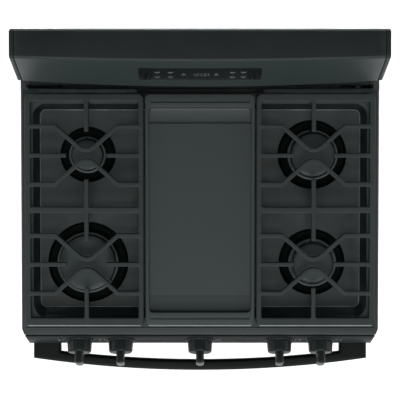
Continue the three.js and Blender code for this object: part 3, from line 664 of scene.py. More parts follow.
def startShapeTree(name, inputs):
    tree = bpy.data.node_groups.new(name, "GeometryNodeTree")
    tree.interface.new_socket(name="Geometry", in_out="INPUT", socket_type="NodeSocketGeometry")
    for label, kind, value in inputs:
        socket = tree.interface.new_socket(name=label, in_out="INPUT", socket_type=kind)
        if value is not None:
            socket.default_value = value
    tree.interface.new_socket(name="Finish", in_out="INPUT", socket_type="NodeSocketMaterial")
    tree.interface.new_socket(name="Geometry", in_out="OUTPUT", socket_type="NodeSocketGeometry")
    return tree, tree.nodes.new("NodeGroupInput"), tree.nodes.new("NodeGroupOutput")


def addNode(tree, kind, inputs=None, **properties):
    node = tree.nodes.new(kind)
    for label, value in properties.items():
        setattr(node, label, value)
    for label, value in (inputs or {}).items():
        socket = node.inputs[label]
        if isinstance(value, bpy.types.NodeSocket):
            tree.links.new(value, socket)
        else:
            socket.default_value = value
    return node


def finishShapeTree(tree, start, end, instances):
    real = addNode(tree, "GeometryNodeRealizeInstances", {"Geometry": instances})
    painted = addNode(tree, "GeometryNodeSetMaterial",
                      {"Geometry": real.outputs[0], "Material": start.outputs["Finish"]})
    tree.links.new(painted.outputs[0], end.inputs["Geometry"])
    return tree


# flame ports: small slots round a circle
def makePortTree():
    tree, start, end = startShapeTree("flamePorts", [
        ("Count", "NodeSocketInt", 24), ("Radius", "NodeSocketFloat", 0.03),
        ("Slot", "NodeSocketVector", (0.003, 0.002, 0.005)), ("Centre", "NodeSocketVector", (0, 0, 0))])
    circle = addNode(tree, "GeometryNodeMeshCircle",
                     {"Vertices": start.outputs["Count"], "Radius": start.outputs["Radius"]})
    slot = addNode(tree, "GeometryNodeMeshCube", {"Size": start.outputs["Slot"]})
    outward = addNode(tree, "FunctionNodeAlignRotationToVector",
                      {"Vector": addNode(tree, "GeometryNodeInputPosition").outputs[0]}, axis="X")
    ports = addNode(tree, "GeometryNodeInstanceOnPoints",
                    {"Points": circle.outputs[0], "Instance": slot.outputs[0],
                     "Rotation": outward.outputs[0]})
    moved = addNode(tree, "GeometryNodeTransform",
                    {"Geometry": ports.outputs[0], "Translation": start.outputs["Centre"]})
    return finishShapeTree(tree, start, end, moved.outputs[0])


# hexagon washer-head screws on given points
def makeScrewTree():
    tree, start, end = startShapeTree("hexScrews", [
        ("Head Radius", "NodeSocketFloat", 0.0045), ("Head Height", "NodeSocketFloat", 0.003),
        ("Washer Radius", "NodeSocketFloat", 0.007), ("Washer Height", "NodeSocketFloat", 0.0009),
        ("Facing", "NodeSocketVector", (0, 0, 1))])
    head = addNode(tree, "GeometryNodeMeshCylinder",
                   {"Vertices": 6, "Radius": start.outputs["Head Radius"],
                    "Depth": start.outputs["Head Height"]})
    washer = addNode(tree, "GeometryNodeMeshCylinder",
                     {"Vertices": 20, "Radius": start.outputs["Washer Radius"],
                      "Depth": start.outputs["Washer Height"]})
    height = {0: start.outputs["Head Height"], 1: 0.5}
    lift = addNode(tree, "ShaderNodeMath", height, operation="MULTIPLY")
    up = addNode(tree, "ShaderNodeCombineXYZ", {"Z": lift.outputs[0]})
    raised = addNode(tree, "GeometryNodeTransform",
                     {"Geometry": head.outputs[0], "Translation": up.outputs[0]})
    whole = addNode(tree, "GeometryNodeJoinGeometry")
    tree.links.new(raised.outputs[0], whole.inputs[0])
    tree.links.new(washer.outputs[0], whole.inputs[0])
    facing = addNode(tree, "FunctionNodeAlignRotationToVector",
                     {"Vector": start.outputs["Facing"]}, axis="Z")
    screws = addNode(tree, "GeometryNodeInstanceOnPoints",
                     {"Points": start.outputs["Geometry"], "Instance": whole.outputs[0],
                      "Rotation": facing.outputs[0]})
    return finishShapeTree(tree, start, end, screws.outputs[0])


# wires bent along one path and set side by side
def makeWireTree():
    tree, start, end = startShapeTree("wireRow", [
        ("Count", "NodeSocketInt", 12), ("Step", "NodeSocketVector", (0.05, 0, 0)),
        ("First", "NodeSocketVector", (0, 0, 0)), ("Wire Radius", "NodeSocketFloat", 0.002),
        ("Bend Radius", "NodeSocketFloat", 0.006)])
    path = addNode(tree, "GeometryNodeMeshToCurve", {"Mesh": start.outputs["Geometry"]})
    bent = addNode(tree, "GeometryNodeFilletCurve",
                   {"Curve": path.outputs[0], "Radius": start.outputs["Bend Radius"], "Count": 5,
                    "Limit Radius": True}, mode="POLY")
    section = addNode(tree, "GeometryNodeCurvePrimitiveCircle",
                      {"Resolution": 10, "Radius": start.outputs["Wire Radius"]})
    wire = addNode(tree, "GeometryNodeCurveToMesh",
                   {"Curve": bent.outputs[0], "Profile Curve": section.outputs[0], "Fill Caps": True})
    line = addNode(tree, "GeometryNodeMeshLine",
                   {"Count": start.outputs["Count"], "Start Location": start.outputs["First"],
                    "Offset": start.outputs["Step"]})
    row = addNode(tree, "GeometryNodeInstanceOnPoints",
                  {"Points": line.outputs[0],
                   "Instance": addNode(tree, "GeometryNodeGeometryToInstance",
                                       {"Geometry": wire.outputs[0]}).outputs[0]})
    return finishShapeTree(tree, start, end, row.outputs[0])


shapeTrees = {"ports": makePortTree(), "screws": makeScrewTree(), "wires": makeWireTree()}


# runs a tree on a start mesh and keeps its result as a plain mesh
def growPiece(name, treeName, values, finish, bm=None):
    piece = linkPiece(name, bm or bmesh.new())
    modifier = piece.modifiers.new("shape", "NODES")
    tree = shapeTrees[treeName]
    modifier.node_group = tree
    values = {**values, "Finish": finishes[finish]}
    for item in tree.interface.items_tree:
        if item.item_type == "SOCKET" and item.in_out == "INPUT" and item.name in values:
            modifier[item.identifier] = values[item.name]
    return bakeModifiers(piece)


def pointMesh(points):
    bm = bmesh.new()
    for point in points:
        bm.verts.new(point)
    return bm


def pathMesh(points):
    bm = bmesh.new()
    made = [bm.verts.new(point) for point in points]
    for a, b in zip(made, made[1:]):
        bm.edges.new((a, b))
    return bm


def addScrews(name, body, points, facing, finish="screwSteel", size=1.0):
    values = {"Head Radius": 0.0042 * size, "Head Height": 0.003 * size, "Washer Radius": 0.0068 * size,
              "Washer Height": 0.0009 * size, "Facing": facing}
    return settle(growPiece(name, "screws", values, finish, pointMesh(points)), body, finish)


# CAD parts that keep their own shape

keptFinishes = {
    "base_frame": "zincSteel", "oven_liner": "ovenEnamel", "oven_floor": "ovenEnamel",
    "bake_burner": "zincSteel", "broil_burner": "zincSteel", "drawer_tub": "zincSteel",
    "gas_manifold": "zincSteel", "door_hinge_left": "zincSteel", "door_hinge_right": "zincSteel",
    "oven_front_frame": "topEnamel", "gas_inlet": "machinedBrass", "power_inlet": "trimPlastic",
    "temperature_probe": "chromeWire", "oven_lamp_cover": "clearGlass",
    "door_inner_glass": "clearGlass", "door_outer_glass": "controlGlass",
}


def paintKeptNodes():
    for name, node in nodes.items():
        finish = keptFinishes.get(name, "zincSteel")
        node.data.materials.clear()
        node.data.materials.append(finishes[finish])


paintKeptNodes()
print("kept parts painted")

# sheet panels with rounded edges

panelSettings = {
    "side_panel_left": ("root", "body_paint", "bodyPaint", 0.6),
    "side_panel_right": ("root", "body_paint", "bodyPaint", 0.6),
    "backguard_rear_cover": ("root", "bare_steel", "zincSteel", 0.5),
    "manifold_panel": ("root", "panel_paint", "slopePaint", 0.6),
    "door_inner_panel": ("oven_door", "oven_enamel", "ovenEnamel", 0.6),
    "door_gasket": ("root", "gasket", "gasketBraid", 2.4),
}


def makePanels():
    for nodeName, (body, slotName, finish, edge) in panelSettings.items():
        settle(roundedCopy(nodeName, edge * mm, 3), body, finish, [nodeName])


makePanels()

# cooktop

cooktopSettings = {
    "edge": 1.5,
    "deckDrop": 6,           # the deck lies this far below the cooktop's highest edge
    "panDrop": 15,           # and the pan's floor this far below the burner heads
    "beadX": 340.8, "beadY": 210.8, "beadCorner": 14, "beadRadius": 1.5, "beadLift": 0.5,
    "wallFrom": 190, "wallMouth": 224, "wallReach": 8,      # the front wall leans out further
    "wallFoot": 905, "wallHalf": 360,
    "cornerFrom": 366.5, "cornerOverlap": 6, "cornerDepth": 42, "cornerRadius": 3, "cornerEdge": 1.4,
    # the shadowLine values place a dark strip in the deck: painted shadow before the grates
    "shadowLineY": 252.6, "shadowLineRadius": 1.0, "shadowLineHalf": 371,
}
bowlSettings = {
    # how far each bowl reaches past its burner head
    "reach": {"left_rear": 18.2, "left_front": 18.8, "right_rear": 18.2, "right_front": 17.8},
    "lip": 1.6, "slope": 5, "underHead": 11, "depth": 3.2, "sheet": 0.7,
}
burnerNames = ["left_rear", "left_front", "right_rear", "right_front"]
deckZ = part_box("cooktop")[1].z - cooktopSettings["deckDrop"] * mm
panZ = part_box("burner_head_left_rear")[1].z - cooktopSettings["panDrop"] * mm


def leanFrontWall(point):
    settings = cooktopSettings
    share = (-point.y / mm - settings["wallFrom"]) / (settings["wallMouth"] - settings["wallFrom"])
    inside = point.z >= settings["wallFoot"] * mm and abs(point.x) <= settings["wallHalf"] * mm
    if not inside or not 0 < share < 1.15:
        return point
    return point - Vector((0, min(share, 1) * settings["wallReach"] * mm, 0))


def makeCooktop():
    edge = cooktopSettings["edge"] * mm
    piece = roundedCopy("cooktop", edge, 3, reshape=leanFrontWall)
    settle(piece, "root", "topEnamel", ["cooktop"])


# a rolled bead where the pan's floor meets its wall, in an enamel paler than the pan's: a painted highlight
# along the floor's edge
def makePanBeadHighlight():
    settings = cooktopSettings
    halfX, halfY, corner = (settings[key] * mm for key in ("beadX", "beadY", "beadCorner"))
    z = panZ + settings["beadLift"] * mm
    path = [Vector((x, y, z)) for x, y in roundedRectangle(halfX, halfY, corner, steps=10)]
    bm = bmesh.new()
    addClosedTube(bm, path, settings["beadRadius"] * mm, 10)
    settle(linkPiece("pan_bead_highlight", bm, 60), "root", "beadHighlightEnamel")


# a dark strip sunk in the deck before the grates: painted shadow of the gap under their front edge
def makeFrontShadowLine():
    settings = cooktopSettings
    half, y = settings["shadowLineHalf"] * mm, -settings["shadowLineY"] * mm
    bm = bmesh.new()
    addTube(bm, [(x, y, deckZ - 0.5 * mm) for x in (-half, half)], settings["shadowLineRadius"] * mm, 12)
    settle(linkPiece("front_shadow_line", bm, 60), "root", "portShadow")


def makeRearCorners():
    settings = cooktopSettings
    low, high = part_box("cooktop")
    near, far = settings["cornerFrom"] * mm, high.x
    front, back = high.y - settings["cornerOverlap"] * mm, high.y + settings["cornerDepth"] * mm
    for side, name in ((-1, "left"), (1, "right")):
        corners = [(side * near, front), (side * far, front), (side * far, back), (side * near, back)]
        outline = roundCorners(corners, settings["cornerRadius"] * mm, 4, closed=True)
        bm = bmesh.new()
        addPlate(bm, outline, low.z, deckZ - 0.2 * mm, settings["cornerEdge"] * mm)
        settle(linkPiece("cooktop_rear_corner_" + name, bm), "root", "topEnamel")


# the near-black dish round each burner: dark enamel, darkened further as painted shade in the recess
def makeBowls():
    settings = bowlSettings
    lip, slope, floor = settings["lip"], settings["slope"], -settings["depth"]
    under = floor - settings["sheet"]
    for name in burnerNames:
        low, high, middle = spot("burner_head_" + name)
        head = (high.x - low.x) / 2 / mm
        bowl, inner = head + settings["reach"][name], head - settings["underHead"]
        profile = [
            (inner, floor), (bowl - slope, floor), (bowl - 0.6 * slope, floor + 0.5),
            (bowl - 0.2 * slope, -0.5), (bowl, 0.3), (bowl + 0.6 * lip, 0.7), (bowl + lip, 0.1),
            (bowl + 0.4 * lip, -0.4), (bowl - 0.6 * slope, under), (inner, under),
        ]
        foot = Vector((middle.x, middle.y, panZ))
        piece = turnedPiece("burner_bowl_" + name, profile, foot, smoothAngle=60)
        settle(piece, "root", "bowlEnamelAndShade")


makeCooktop()
makePanBeadHighlight()
makeFrontShadowLine()
makeRearCorners()
makeBowls()
print("cooktop ready")

# burners

burnerSettings = {
    # in from the head's edge and down from its top
    "headProfile": ((12.6, 12), (9, 9.5), (2.2, 8), (0.6, 6.8), (0.2, 5), (0.2, 2.4), (1.0, 0.8),
                    (2.6, 0.1),
                    (4.6, 0.2), (6.4, 2.6), (9, 3)),
    "stemInset": 12.6, "wellDepth": 3,
    "portCount": {"left_rear": 24, "left_front": 44, "right_rear": 36, "right_front": 34},
    "portSlot": (2.4, 1.6, 4.2), "portInset": 1.2, "portDrop": 4.4,
    # in from the cap's edge and up from its foot
    "capSide": ((3, 0), (1.2, 0.5), (0.3, 2), (0, 4.2), (0.3, 6.4), (1.3, 8.2)),
    "capCrown": 0.7, "crownInset": 3.2, "crownDrop": 1.8,
    # share of the radius, and the height
    "igniterProfile": ((0, 0), (1, 0), (1, 18), (0.8, 19), (0.5, 19.3), (0.45, 20.6), (0, 21)),
    "igniterRadius": 3.4, "igniterInset": 4.6, "igniterDrop": 18,
    "igniterTurn": {"left_rear": 95, "left_front": -38, "right_rear": 95, "right_front": 91},
    "ovalRim": 11, "ovalStemInset": 10,
}


def makeBurnerHead(name):
    settings = burnerSettings
    node = "burner_head_" + name
    low, high, middle = spot(node)
    head = (high.x - low.x) / 2 / mm
    foot, stem = (low.z - high.z) / mm, head - settings["stemInset"]
    profile = [(0, foot), (stem, foot)]
    profile += [(head - inset, -drop) for inset, drop in settings["headProfile"]]
    profile += [(0, -settings["wellDepth"])]
    piece = turnedPiece(node + "_cast", profile, Vector((middle.x, middle.y, high.z)), smoothAngle=40)
    settle(piece, "root", "burnerMetal", [node])
    values = {
        "Count": settings["portCount"][name], "Radius": (head - settings["portInset"]) * mm,
        "Slot": [side * mm for side in settings["portSlot"]],
        "Centre": (middle.x, middle.y, high.z - settings["portDrop"] * mm),
    }
    ports = growPiece("flame_ports_" + name, "ports", values, "portShadow")
    settle(ports, "root", "portShadow")


def makeBurnerCap(name):
    settings = burnerSettings
    node = "burner_cap_" + name
    low, high, middle = spot(node)
    cap = (high.x - low.x) / 2 / mm
    shoulder = (high.z - low.z) / mm - settings["crownDrop"]
    profile = [(0, 0)] + [(cap - inset, height) for inset, height in settings["capSide"]]
    for k in range(7):
        share = 1 - k / 6
        rise = settings["capCrown"] * (1 - share * share)
        profile.append(((cap - settings["crownInset"]) * share, shoulder + rise))
    piece = turnedPiece(node + "_enamelled", profile, Vector((middle.x, middle.y, low.z)))
    settle(piece, "cap_" + name, "capEnamel", [node])


# spark electrode in its porcelain, let into the rim of each head
def makeIgniter(name):
    settings = burnerSettings
    low, high, middle = spot("burner_head_" + name)
    turn = math.radians(settings["igniterTurn"][name])
    reach = (high.x - low.x) / 2 - settings["igniterInset"] * mm
    foot = Vector((middle.x + reach * math.cos(turn), middle.y + reach * math.sin(turn),
                   high.z - settings["igniterDrop"] * mm))
    radius = settings["igniterRadius"]
    profile = [(share * radius, height) for share, height in settings["igniterProfile"]]
    settle(turnedPiece("igniter_" + name, profile, foot, 24), "root", "igniterCeramic")


def stadium(halfX, halfY, steps=12):
    outline = []
    for sign in (1, -1):
        for k in range(steps + 1):
            angle = math.pi * k / steps
            y = halfY - halfX + halfX * math.sin(angle)
            outline.append((sign * halfX * math.cos(angle), sign * y))
    return outline


def makeCentreBurner():
    rim, inset = burnerSettings["ovalRim"] * mm, burnerSettings["ovalStemInset"] * mm
    node = "burner_head_centre"
    low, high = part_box(node)
    half = (high - low) / 2
    bm = bmesh.new()
    addPlate(bm, stadium(half.x, half.y), high.z - rim, high.z, 1.2 * mm)
    addPlate(bm, stadium(half.x - inset, half.y - inset), low.z, high.z - rim + 1 * mm, 0.5 * mm)
    settle(linkPiece(node + "_cast", bm), "root", "burnerMetal", [node])
    node = "burner_cap_centre"
    low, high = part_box(node)
    half = (high - low) / 2
    bm = bmesh.new()
    addPlate(bm, stadium(half.x, half.y), low.z, high.z, 3 * mm)
    settle(linkPiece(node + "_enamelled", bm), "cap_centre", "capEnamel", [node])


for burnerName in burnerNames:
    makeBurnerHead(burnerName)
    makeBurnerCap(burnerName)
    makeIgniter(burnerName)
makeCentreBurner()
print("burners ready")

# cast grates

grateSettings = {"voxel": 1.5, "smoothing": 3, "triangles": 76000}


# a CAD solid melted a little, like a sand casting
def castCopy(nodeName, settings):
    bm = bmesh.new()
    bm.from_mesh(nodes[nodeName].data)
    bmesh.ops.remove_doubles(bm, verts=bm.verts, dist=0.000005)
    piece = linkPiece(nodeName + "_cast", bm)
    remesh = piece.modifiers.new("melt", "REMESH")
    remesh.mode = "VOXEL"
    remesh.voxel_size = settings["voxel"] * mm
    soft = piece.modifiers.new("soft", "SMOOTH")
    soft.factor = 0.5
    soft.iterations = settings["smoothing"]
    bakeModifiers(piece, 180)
    count = sum(len(polygon.vertices) - 2 for polygon in piece.data.polygons)
    thin = piece.modifiers.new("thin", "DECIMATE")
    thin.ratio = min(1.0, settings["triangles"] / count)
    return bakeModifiers(piece, 180)


def makeGrates():
    for side in ("left", "right"):
        piece = castCopy("grate_" + side, grateSettings)
        settle(piece, "grate_%s_body" % side, "grateIron", ["grate_" + side])


makeGrates()
print("grates ready")

# griddle

griddleSettings = {
    "cornerRadius": 10, "edge": 3, "thickness": 23.2,
    "recessX": 107.5, "recessY": 216, "recessRadius": 9, "recessFillet": 4,
    "floorDrop": 9, "scoopY": 182, "scoopStep": 2.8, "scoopDrop": 2.2,
    "grooveY": 228.3, "grooveWidth": 5.6, "grooveDrop": 2.2,
    "foot": (101, 236, 5),   # middle in X and Y, and half its width
}


# ring of points with even stations, so that any two rings join and the floor can follow Y
def griddleRing(halfX, halfY, radius, inset, height):
    settings = griddleSettings
    stations = []
    straight = 46
    for k in range(7):
        angle = math.pi / 2 * (1 - k / 6)
        stations.append((halfX - radius + (radius - inset) * math.cos(angle),
                         -(halfY - radius) - (radius - inset) * math.sin(angle)))
    lowY, highY = -(halfY - radius), halfY - radius
    scoop = settings["scoopY"] * mm
    marks = [-scoop - 1.2 * mm, -scoop, scoop, scoop + 1.2 * mm]
    lines = sorted([lowY + (highY - lowY) * k / straight for k in range(1, straight)] + marks)
    stations += [(halfX - inset, y) for y in lines]
    stations += [(x, -y) for x, y in reversed(stations[:7])]
    ring = [Vector((x, y, height(y))) for x, y in stations]
    ring += [Vector((-x, y, height(y))) for x, y in reversed(stations)]
    return ring


def makeGriddle():
    settings = griddleSettings
    low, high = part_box("griddle")
    half = (high - low) / 2
    topZ = high.z
    bottomZ = topZ - settings["thickness"] * mm
    corner = settings["cornerRadius"] * mm
    edge = settings["edge"] * mm
    recessX, recessY = settings["recessX"] * mm, settings["recessY"] * mm
    recessRadius, fillet = settings["recessRadius"] * mm, settings["recessFillet"] * mm
    floorZ = topZ - settings["floorDrop"] * mm
    scoopY = settings["scoopY"] * mm

    def floorHeight(y):
        past = abs(y) - scoopY
        if past <= 0:
            return floorZ
        share = min(1.0, past / (recessY - scoopY))
        step = min(1.0, past / (1.2 * mm)) * settings["scoopStep"] * mm
        return floorZ - step + (step + settings["scoopDrop"] * mm) * share ** 2.2

    def level(z):
        return lambda y: z

    def aboveFloor(share):
        return lambda y: floorHeight(y) + min(fillet, topZ - floorHeight(y)) * share

    rings = [griddleRing(half.x, half.y, corner, 3 * mm, level(bottomZ)),
             griddleRing(half.x, half.y, corner, 0, level(bottomZ + 3 * mm))]
    for k in range(5):
        turn = math.pi / 2 * k / 4
        rings.append(griddleRing(half.x, half.y, corner, edge * (1 - math.cos(turn)),
                                 level(topZ - edge * (1 - math.sin(turn)))))
    for k in range(4):
        turn = math.pi / 2 * k / 3
        rings.append(griddleRing(recessX + 1.5 * mm, recessY + 1.5 * mm, recessRadius + 1.5 * mm,
                                 1.5 * mm * math.sin(turn), level(topZ - 1.5 * mm * (1 - math.cos(turn)))))
    for k in range(5):
        turn = math.pi / 2 * k / 4
        rings.append(griddleRing(recessX, recessY, recessRadius, fillet * (1 - math.cos(turn)),
                                 aboveFloor(1 - math.sin(turn))))
    bm = bmesh.new()
    loops = addRings(bm, rings, closeEnds=False)
    for loop in (loops[0], loops[-1]):
        count = len(loop) // 2
        for i in range(count - 1):
            corners = [loop[i], loop[i + 1], loop[-2 - i], loop[-1 - i]]
            bm.faces.new(corners)
    footX, footY, footHalf = settings["foot"]
    for x in (-footX, footX):
        for y in (-footY, footY):
            addBlock(bm, ((x - footHalf) * mm, (y - footHalf) * mm, low.z),
                     ((x + footHalf) * mm, (y + footHalf) * mm, bottomZ + 2 * mm))
    piece = linkPiece("griddle_plate", bm, 40)
    cutter = bmesh.new()
    for end in (-1, 1):
        y = end * settings["grooveY"] * mm
        width = settings["grooveWidth"] / 2 * mm
        addPlate(cutter, [(x, v + y) for x, v in roundedRectangle(recessX - 3 * mm, width, width * 0.98)],
                 topZ - settings["grooveDrop"] * mm, topZ + 5 * mm, 0.8 * mm)
    cutAway(piece, cutter, 40)
    settle(piece, "griddle_body", "griddleCoat", ["griddle"])


makeGriddle()
print("griddle ready")

frontHighlightSettings = {"radius": 1.2, "inset": 1.0, "endGap": 7}


# a pale bar along the front upper edge of each grate and of the griddle: a painted highlight where that
# rounded edge catches the light
def makeFrontHighlight(node, body):
    settings = frontHighlightSettings
    low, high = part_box(node)
    inset, gap = settings["inset"] * mm, settings["endGap"] * mm
    bm = bmesh.new()
    addTube(bm, [(x, low.y + inset, high.z - inset) for x in (low.x + gap, high.x - gap)],
            settings["radius"] * mm, 12)
    settle(linkPiece(node + "_front_edge", bm, 60), body, "paintedEdgeHighlight")


makeFrontHighlight("grate_left", "grate_left_body")
makeFrontHighlight("griddle", "griddle_body")
makeFrontHighlight("grate_right", "grate_right_body")

# knobs, bezels and marks on the sloping panel

knobSettings = {
    "standOff": 4.2, "ribs": 20, "ribDepth": 0.55,
    "skirt": ((0, 21), (4.3, 21), (4.3, 0.4), (26.2, 0), (26.8, 0.8), (26.2, 9), (25.6, 17), (25.0, 20.4),
              (24.0, 22.4), (22.4, 23.5), (20, 24), (12, 24.2), (0, 24.2)),
    "gripHalfWidth": 8.5, "gripHalfLength": 23, "gripBottom": 20, "gripTop": 48.4,
    "gripRadius": 8.3, "gripEdge": 3.2, "ridgeInset": 3.4, "ridgeRadius": 5, "ridgeRise": 0.6,
    "bezel": ((9, 0.4), (29.6, 0.4), (30.2, 0.9), (29.8, 2.2), (29.0, 3.1), (28.2, 3.3), (27.6, 2.8),
              (27.4, 1.0), (9, 1.0)),
    "markOffset": 40, "markAcross": 4.96, "markUp": 3.36, "markDot": 1.28, "markOwnDot": 2.4,
}
knobNames = ["left_front", "left_rear", "centre", "right_rear", "right_front"]


# from the knob's own axis to its place on the panel
def panelPlace(name, shiftX=0):
    joint = joints["valve_turn_" + name]
    outward = Vector(joint["axis"]).normalized()
    across = Vector((1, 0, 0))
    up = outward.cross(across)
    origin = Vector(joint["pos_m"]) + Vector((shiftX, 0, 0))
    return lambda p: origin + p.x * across + p.y * up + p.z * outward


def makeKnob(name):
    settings = knobSettings
    place = panelPlace(name)
    lift = settings["standOff"]
    halfWidth, halfLength = settings["gripHalfWidth"], settings["gripHalfLength"]
    bottom, top = settings["gripBottom"] + lift, settings["gripTop"] + lift
    bm = bmesh.new()
    skirt = inMetres((radius, height + lift) for radius, height in settings["skirt"])
    addTurned(bm, skirt, 160, place, (settings["ribs"], settings["ribDepth"] * mm))
    grip = roundedRectangle(halfWidth * mm, halfLength * mm, settings["gripRadius"] * mm, steps=10)
    addPlate(bm, grip, bottom * mm, top * mm, settings["gripEdge"] * mm, 5, place)
    inset = settings["ridgeInset"]
    ridge = roundedRectangle((halfWidth - inset) * mm, (halfLength - inset) * mm,
                             settings["ridgeRadius"] * mm, steps=8)
    addPlate(bm, ridge, (top - 2) * mm, (top + settings["ridgeRise"]) * mm, 0.55 * mm, 3, place)
    settle(linkPiece("knob_%s_moulded" % name, bm, 32), "dial_" + name, "knobPlastic",
           ["knob_" + name])
    bm = bmesh.new()
    addTurned(bm, inMetres(settings["bezel"]), 96, place)
    settle(linkPiece("knob_bezel_" + name, bm, 50), "root", "trimPlastic")


# a small plan of the burners beside each knob, with its own burner filled in
def makePanelMark(name):
    settings = knobSettings
    side = -1 if name.startswith("left") else 1
    place = panelPlace(name, side * settings["markOffset"] * mm)
    spots = {"left_rear": (-1, 1), "right_rear": (1, 1), "left_front": (-1, -1), "right_front": (1, -1),
             "centre": (0, 0)}
    bm = bmesh.new()
    for spotName, (x, y) in spots.items():
        radius = settings["markOwnDot" if spotName == name else "markDot"]
        centre = Vector((x * settings["markAcross"] * mm, y * settings["markUp"] * mm, 0))
        dot = inMetres([(0, 0.1), (radius, 0.1), (radius, 0.3), (0, 0.3)])
        addTurned(bm, dot, 20, lambda p: place(p + centre))
    settle(linkPiece("panel_mark_" + name, bm, 50), "root", "panelMark")


for knobName in knobNames:
    makeKnob(knobName)
    makePanelMark(knobName)
    nodes["valve_stem_" + knobName].data.materials[0] = finishes["machinedBrass"]
print("knobs ready")

# backguard: one bowed sheet between two moulded ends

backguardSettings = {
    "sheet": 1.6, "bow": 13, "stations": 56, "cornerRadius": 6, "faceDrop": 150, "faceDepth": 108.1,
    # distances forward from the back and down from the top
    "profile": ((0, 16), (0, 0), (57.1, 0), (61.6, 4), (108.1, 131), (107.1, 138), (100.1, 142),
                (66.1, 144), (66.1, 255), (104.1, 276), (104.1, 303)),
    "slot": (133, 78.1, 100.1, 240, 300),      # half width, then its reach back and down
    "glassHalf": 120.5, "glassTop": 36, "glassBottom": 93, "glassThick": 1.9, "glassLift": 0.3,
    "glassCorner": 4, "glassEdge": 0.7,
}
guardLow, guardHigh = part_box("backguard_shell")
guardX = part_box("backguard_end_right")[1].x


def bowForward(point):
    settings = backguardSettings
    if point.z < guardHigh.z - settings["faceDrop"] * mm:
        return point
    share = (guardHigh.y - point.y) / (settings["faceDepth"] * mm)
    bow = settings["bow"] * mm * (point.x / guardX) ** 2 * share
    return Vector((point.x, point.y + bow, point.z))


def guardPath():
    return [(guardHigh.y - forward * mm, guardHigh.z - down * mm)
            for forward, down in backguardSettings["profile"]]


# the same open path moved to its left
def besidePath(points, distance):
    moved = []
    for i, (x, y) in enumerate(points):
        before = points[max(i - 1, 0)]
        after = points[min(i + 1, len(points) - 1)]
        along = Vector((after[0] - before[0], after[1] - before[1])).normalized()
        moved.append((x - along.y * distance, y + along.x * distance))
    return moved


def makeBackguardShell():
    settings = backguardSettings
    path = roundCorners(guardPath(), settings["cornerRadius"] * mm, 5)
    outline = path + besidePath(path, settings["sheet"] * mm)[::-1]
    count = settings["stations"]
    rings = []
    for i in range(count + 1):
        x = guardLow.x + (guardHigh.x - guardLow.x) * i / count
        rings.append([bowForward(Vector((x, y, z))) for y, z in outline])
    bm = bmesh.new()
    addRings(bm, rings)
    piece = linkPiece("backguard_shell_bowed", bm, 50)
    half, nearBack, farBack, upper, lower = (value * mm for value in settings["slot"])
    cutter = bmesh.new()
    addBlock(cutter, (-half, guardHigh.y - farBack, guardHigh.z - lower),
             (half, guardHigh.y - nearBack, guardHigh.z - upper))
    cutAway(piece, cutter, 50)
    settle(piece, "root", "panelPaint", ["backguard_shell"])


def makeBackguardEnds():
    for side, name in ((-1, "left"), (1, "right")):
        node = "backguard_end_" + name
        low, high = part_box(node)
        silhouette = guardPath()[1:] + [(guardHigh.y, low.z)]
        outline = roundCorners(silhouette, 5 * mm, 5, closed=True)
        inner = min(abs(low.x), abs(high.x))
        bm = bmesh.new()
        addPlate(bm, outline, inner, guardX, 2.6 * mm, 4,
                 lambda p: bowForward(Vector((side * p.z, p.x, p.y))))
        settle(linkPiece(node + "_moulded", bm, 40), "root", "trimPlastic", [node])


# a point on the sloping face: across, down the slope and out from it
def facePoint(x, along, out):
    path = guardPath()
    top, bottom = Vector(path[3]), Vector(path[4])
    down = (bottom - top).normalized()
    outward = Vector((down.y, -down.x))
    place = top + down * along + outward * out
    return bowForward(Vector((x, place.x, place.y)))


def makeControlGlass():
    settings = backguardSettings
    half, radius, edge = (settings[key] * mm for key in ("glassHalf", "glassCorner", "glassEdge"))
    top, bottom = settings["glassTop"] * mm, settings["glassBottom"] * mm
    low, high = settings["glassLift"] * mm, (settings["glassLift"] + settings["glassThick"]) * mm
    cornerSteps = [half - radius * (1 - math.cos(math.pi / 2 * k / 6)) for k in range(7)]
    evenSteps = [half * k / 12 for k in range(12)]
    stations = sorted({round(side * x, 7) for x in cornerSteps + evenSteps for side in (-1, 1)})
    rings = []
    for x in stations:
        past = max(0.0, abs(x) - (half - radius))
        inset = radius - math.sqrt(max(0.0, radius * radius - past * past))
        a, b = top + inset, bottom - inset
        section = [(a, low), (b, low), (b, high - edge), (b - 0.3 * edge, high - 0.3 * edge),
                   (b - edge, high), (a + edge, high), (a + 0.3 * edge, high - 0.3 * edge), (a, high - edge)]
        rings.append([facePoint(x, along, out) for along, out in section])
    bm = bmesh.new()
    addRings(bm, rings)
    piece = linkPiece("control_glass_bowed", bm, 30)
    settle(piece, "root", "controlGlass", ["control_glass"])


# all in millimetres: keys as two bars, menu keys as a bar under a dot, figures as lit strokes
markSettings = {
    "keys": ((-84, -58, 64, 85), (51, 76)), "keyBars": ((0, 5.5, 1.3, 1.2), (5, 3.2, 0.6, 0.5)),
    "menus": ((-32, 32), 64), "menuBars": ((0, 4.5, 1.4, 1.3), (-6, 1.8, 1.8, 1.7)),
    "clockDown": 63.2, "figureX": (-13.5, -4.8, 5.6, 14.3), "colonX": 0.4,
    "lift": 0.35, "thick": 0.12,
    "figures": {"1": "bc", "2": "abged", "0": "abcdef"},
    "strokes": {"a": (0, -6, 2.4, 0.55), "g": (0, 0, 2.4, 0.55), "d": (0, 6, 2.4, 0.55),
                "f": (-2.9, -3, 0.55, 2.5), "b": (2.9, -3, 0.55, 2.5), "e": (-2.9, 3, 0.55, 2.5),
                "c": (2.9, 3, 0.55, 2.5)},
}


# one small rounded bar, just proud of the glass
def addMark(bm, x, along, halfX, halfY, radius):
    face = backguardSettings["glassThick"] + markSettings["lift"]
    bar = roundedRectangle(halfX, halfY, radius, (x, along), steps=3)
    addPlate(bm, inMetres(bar), face * mm, (face + markSettings["thick"]) * mm, 0.04 * mm, 1,
             lambda p: facePoint(p.x, p.y, p.z))


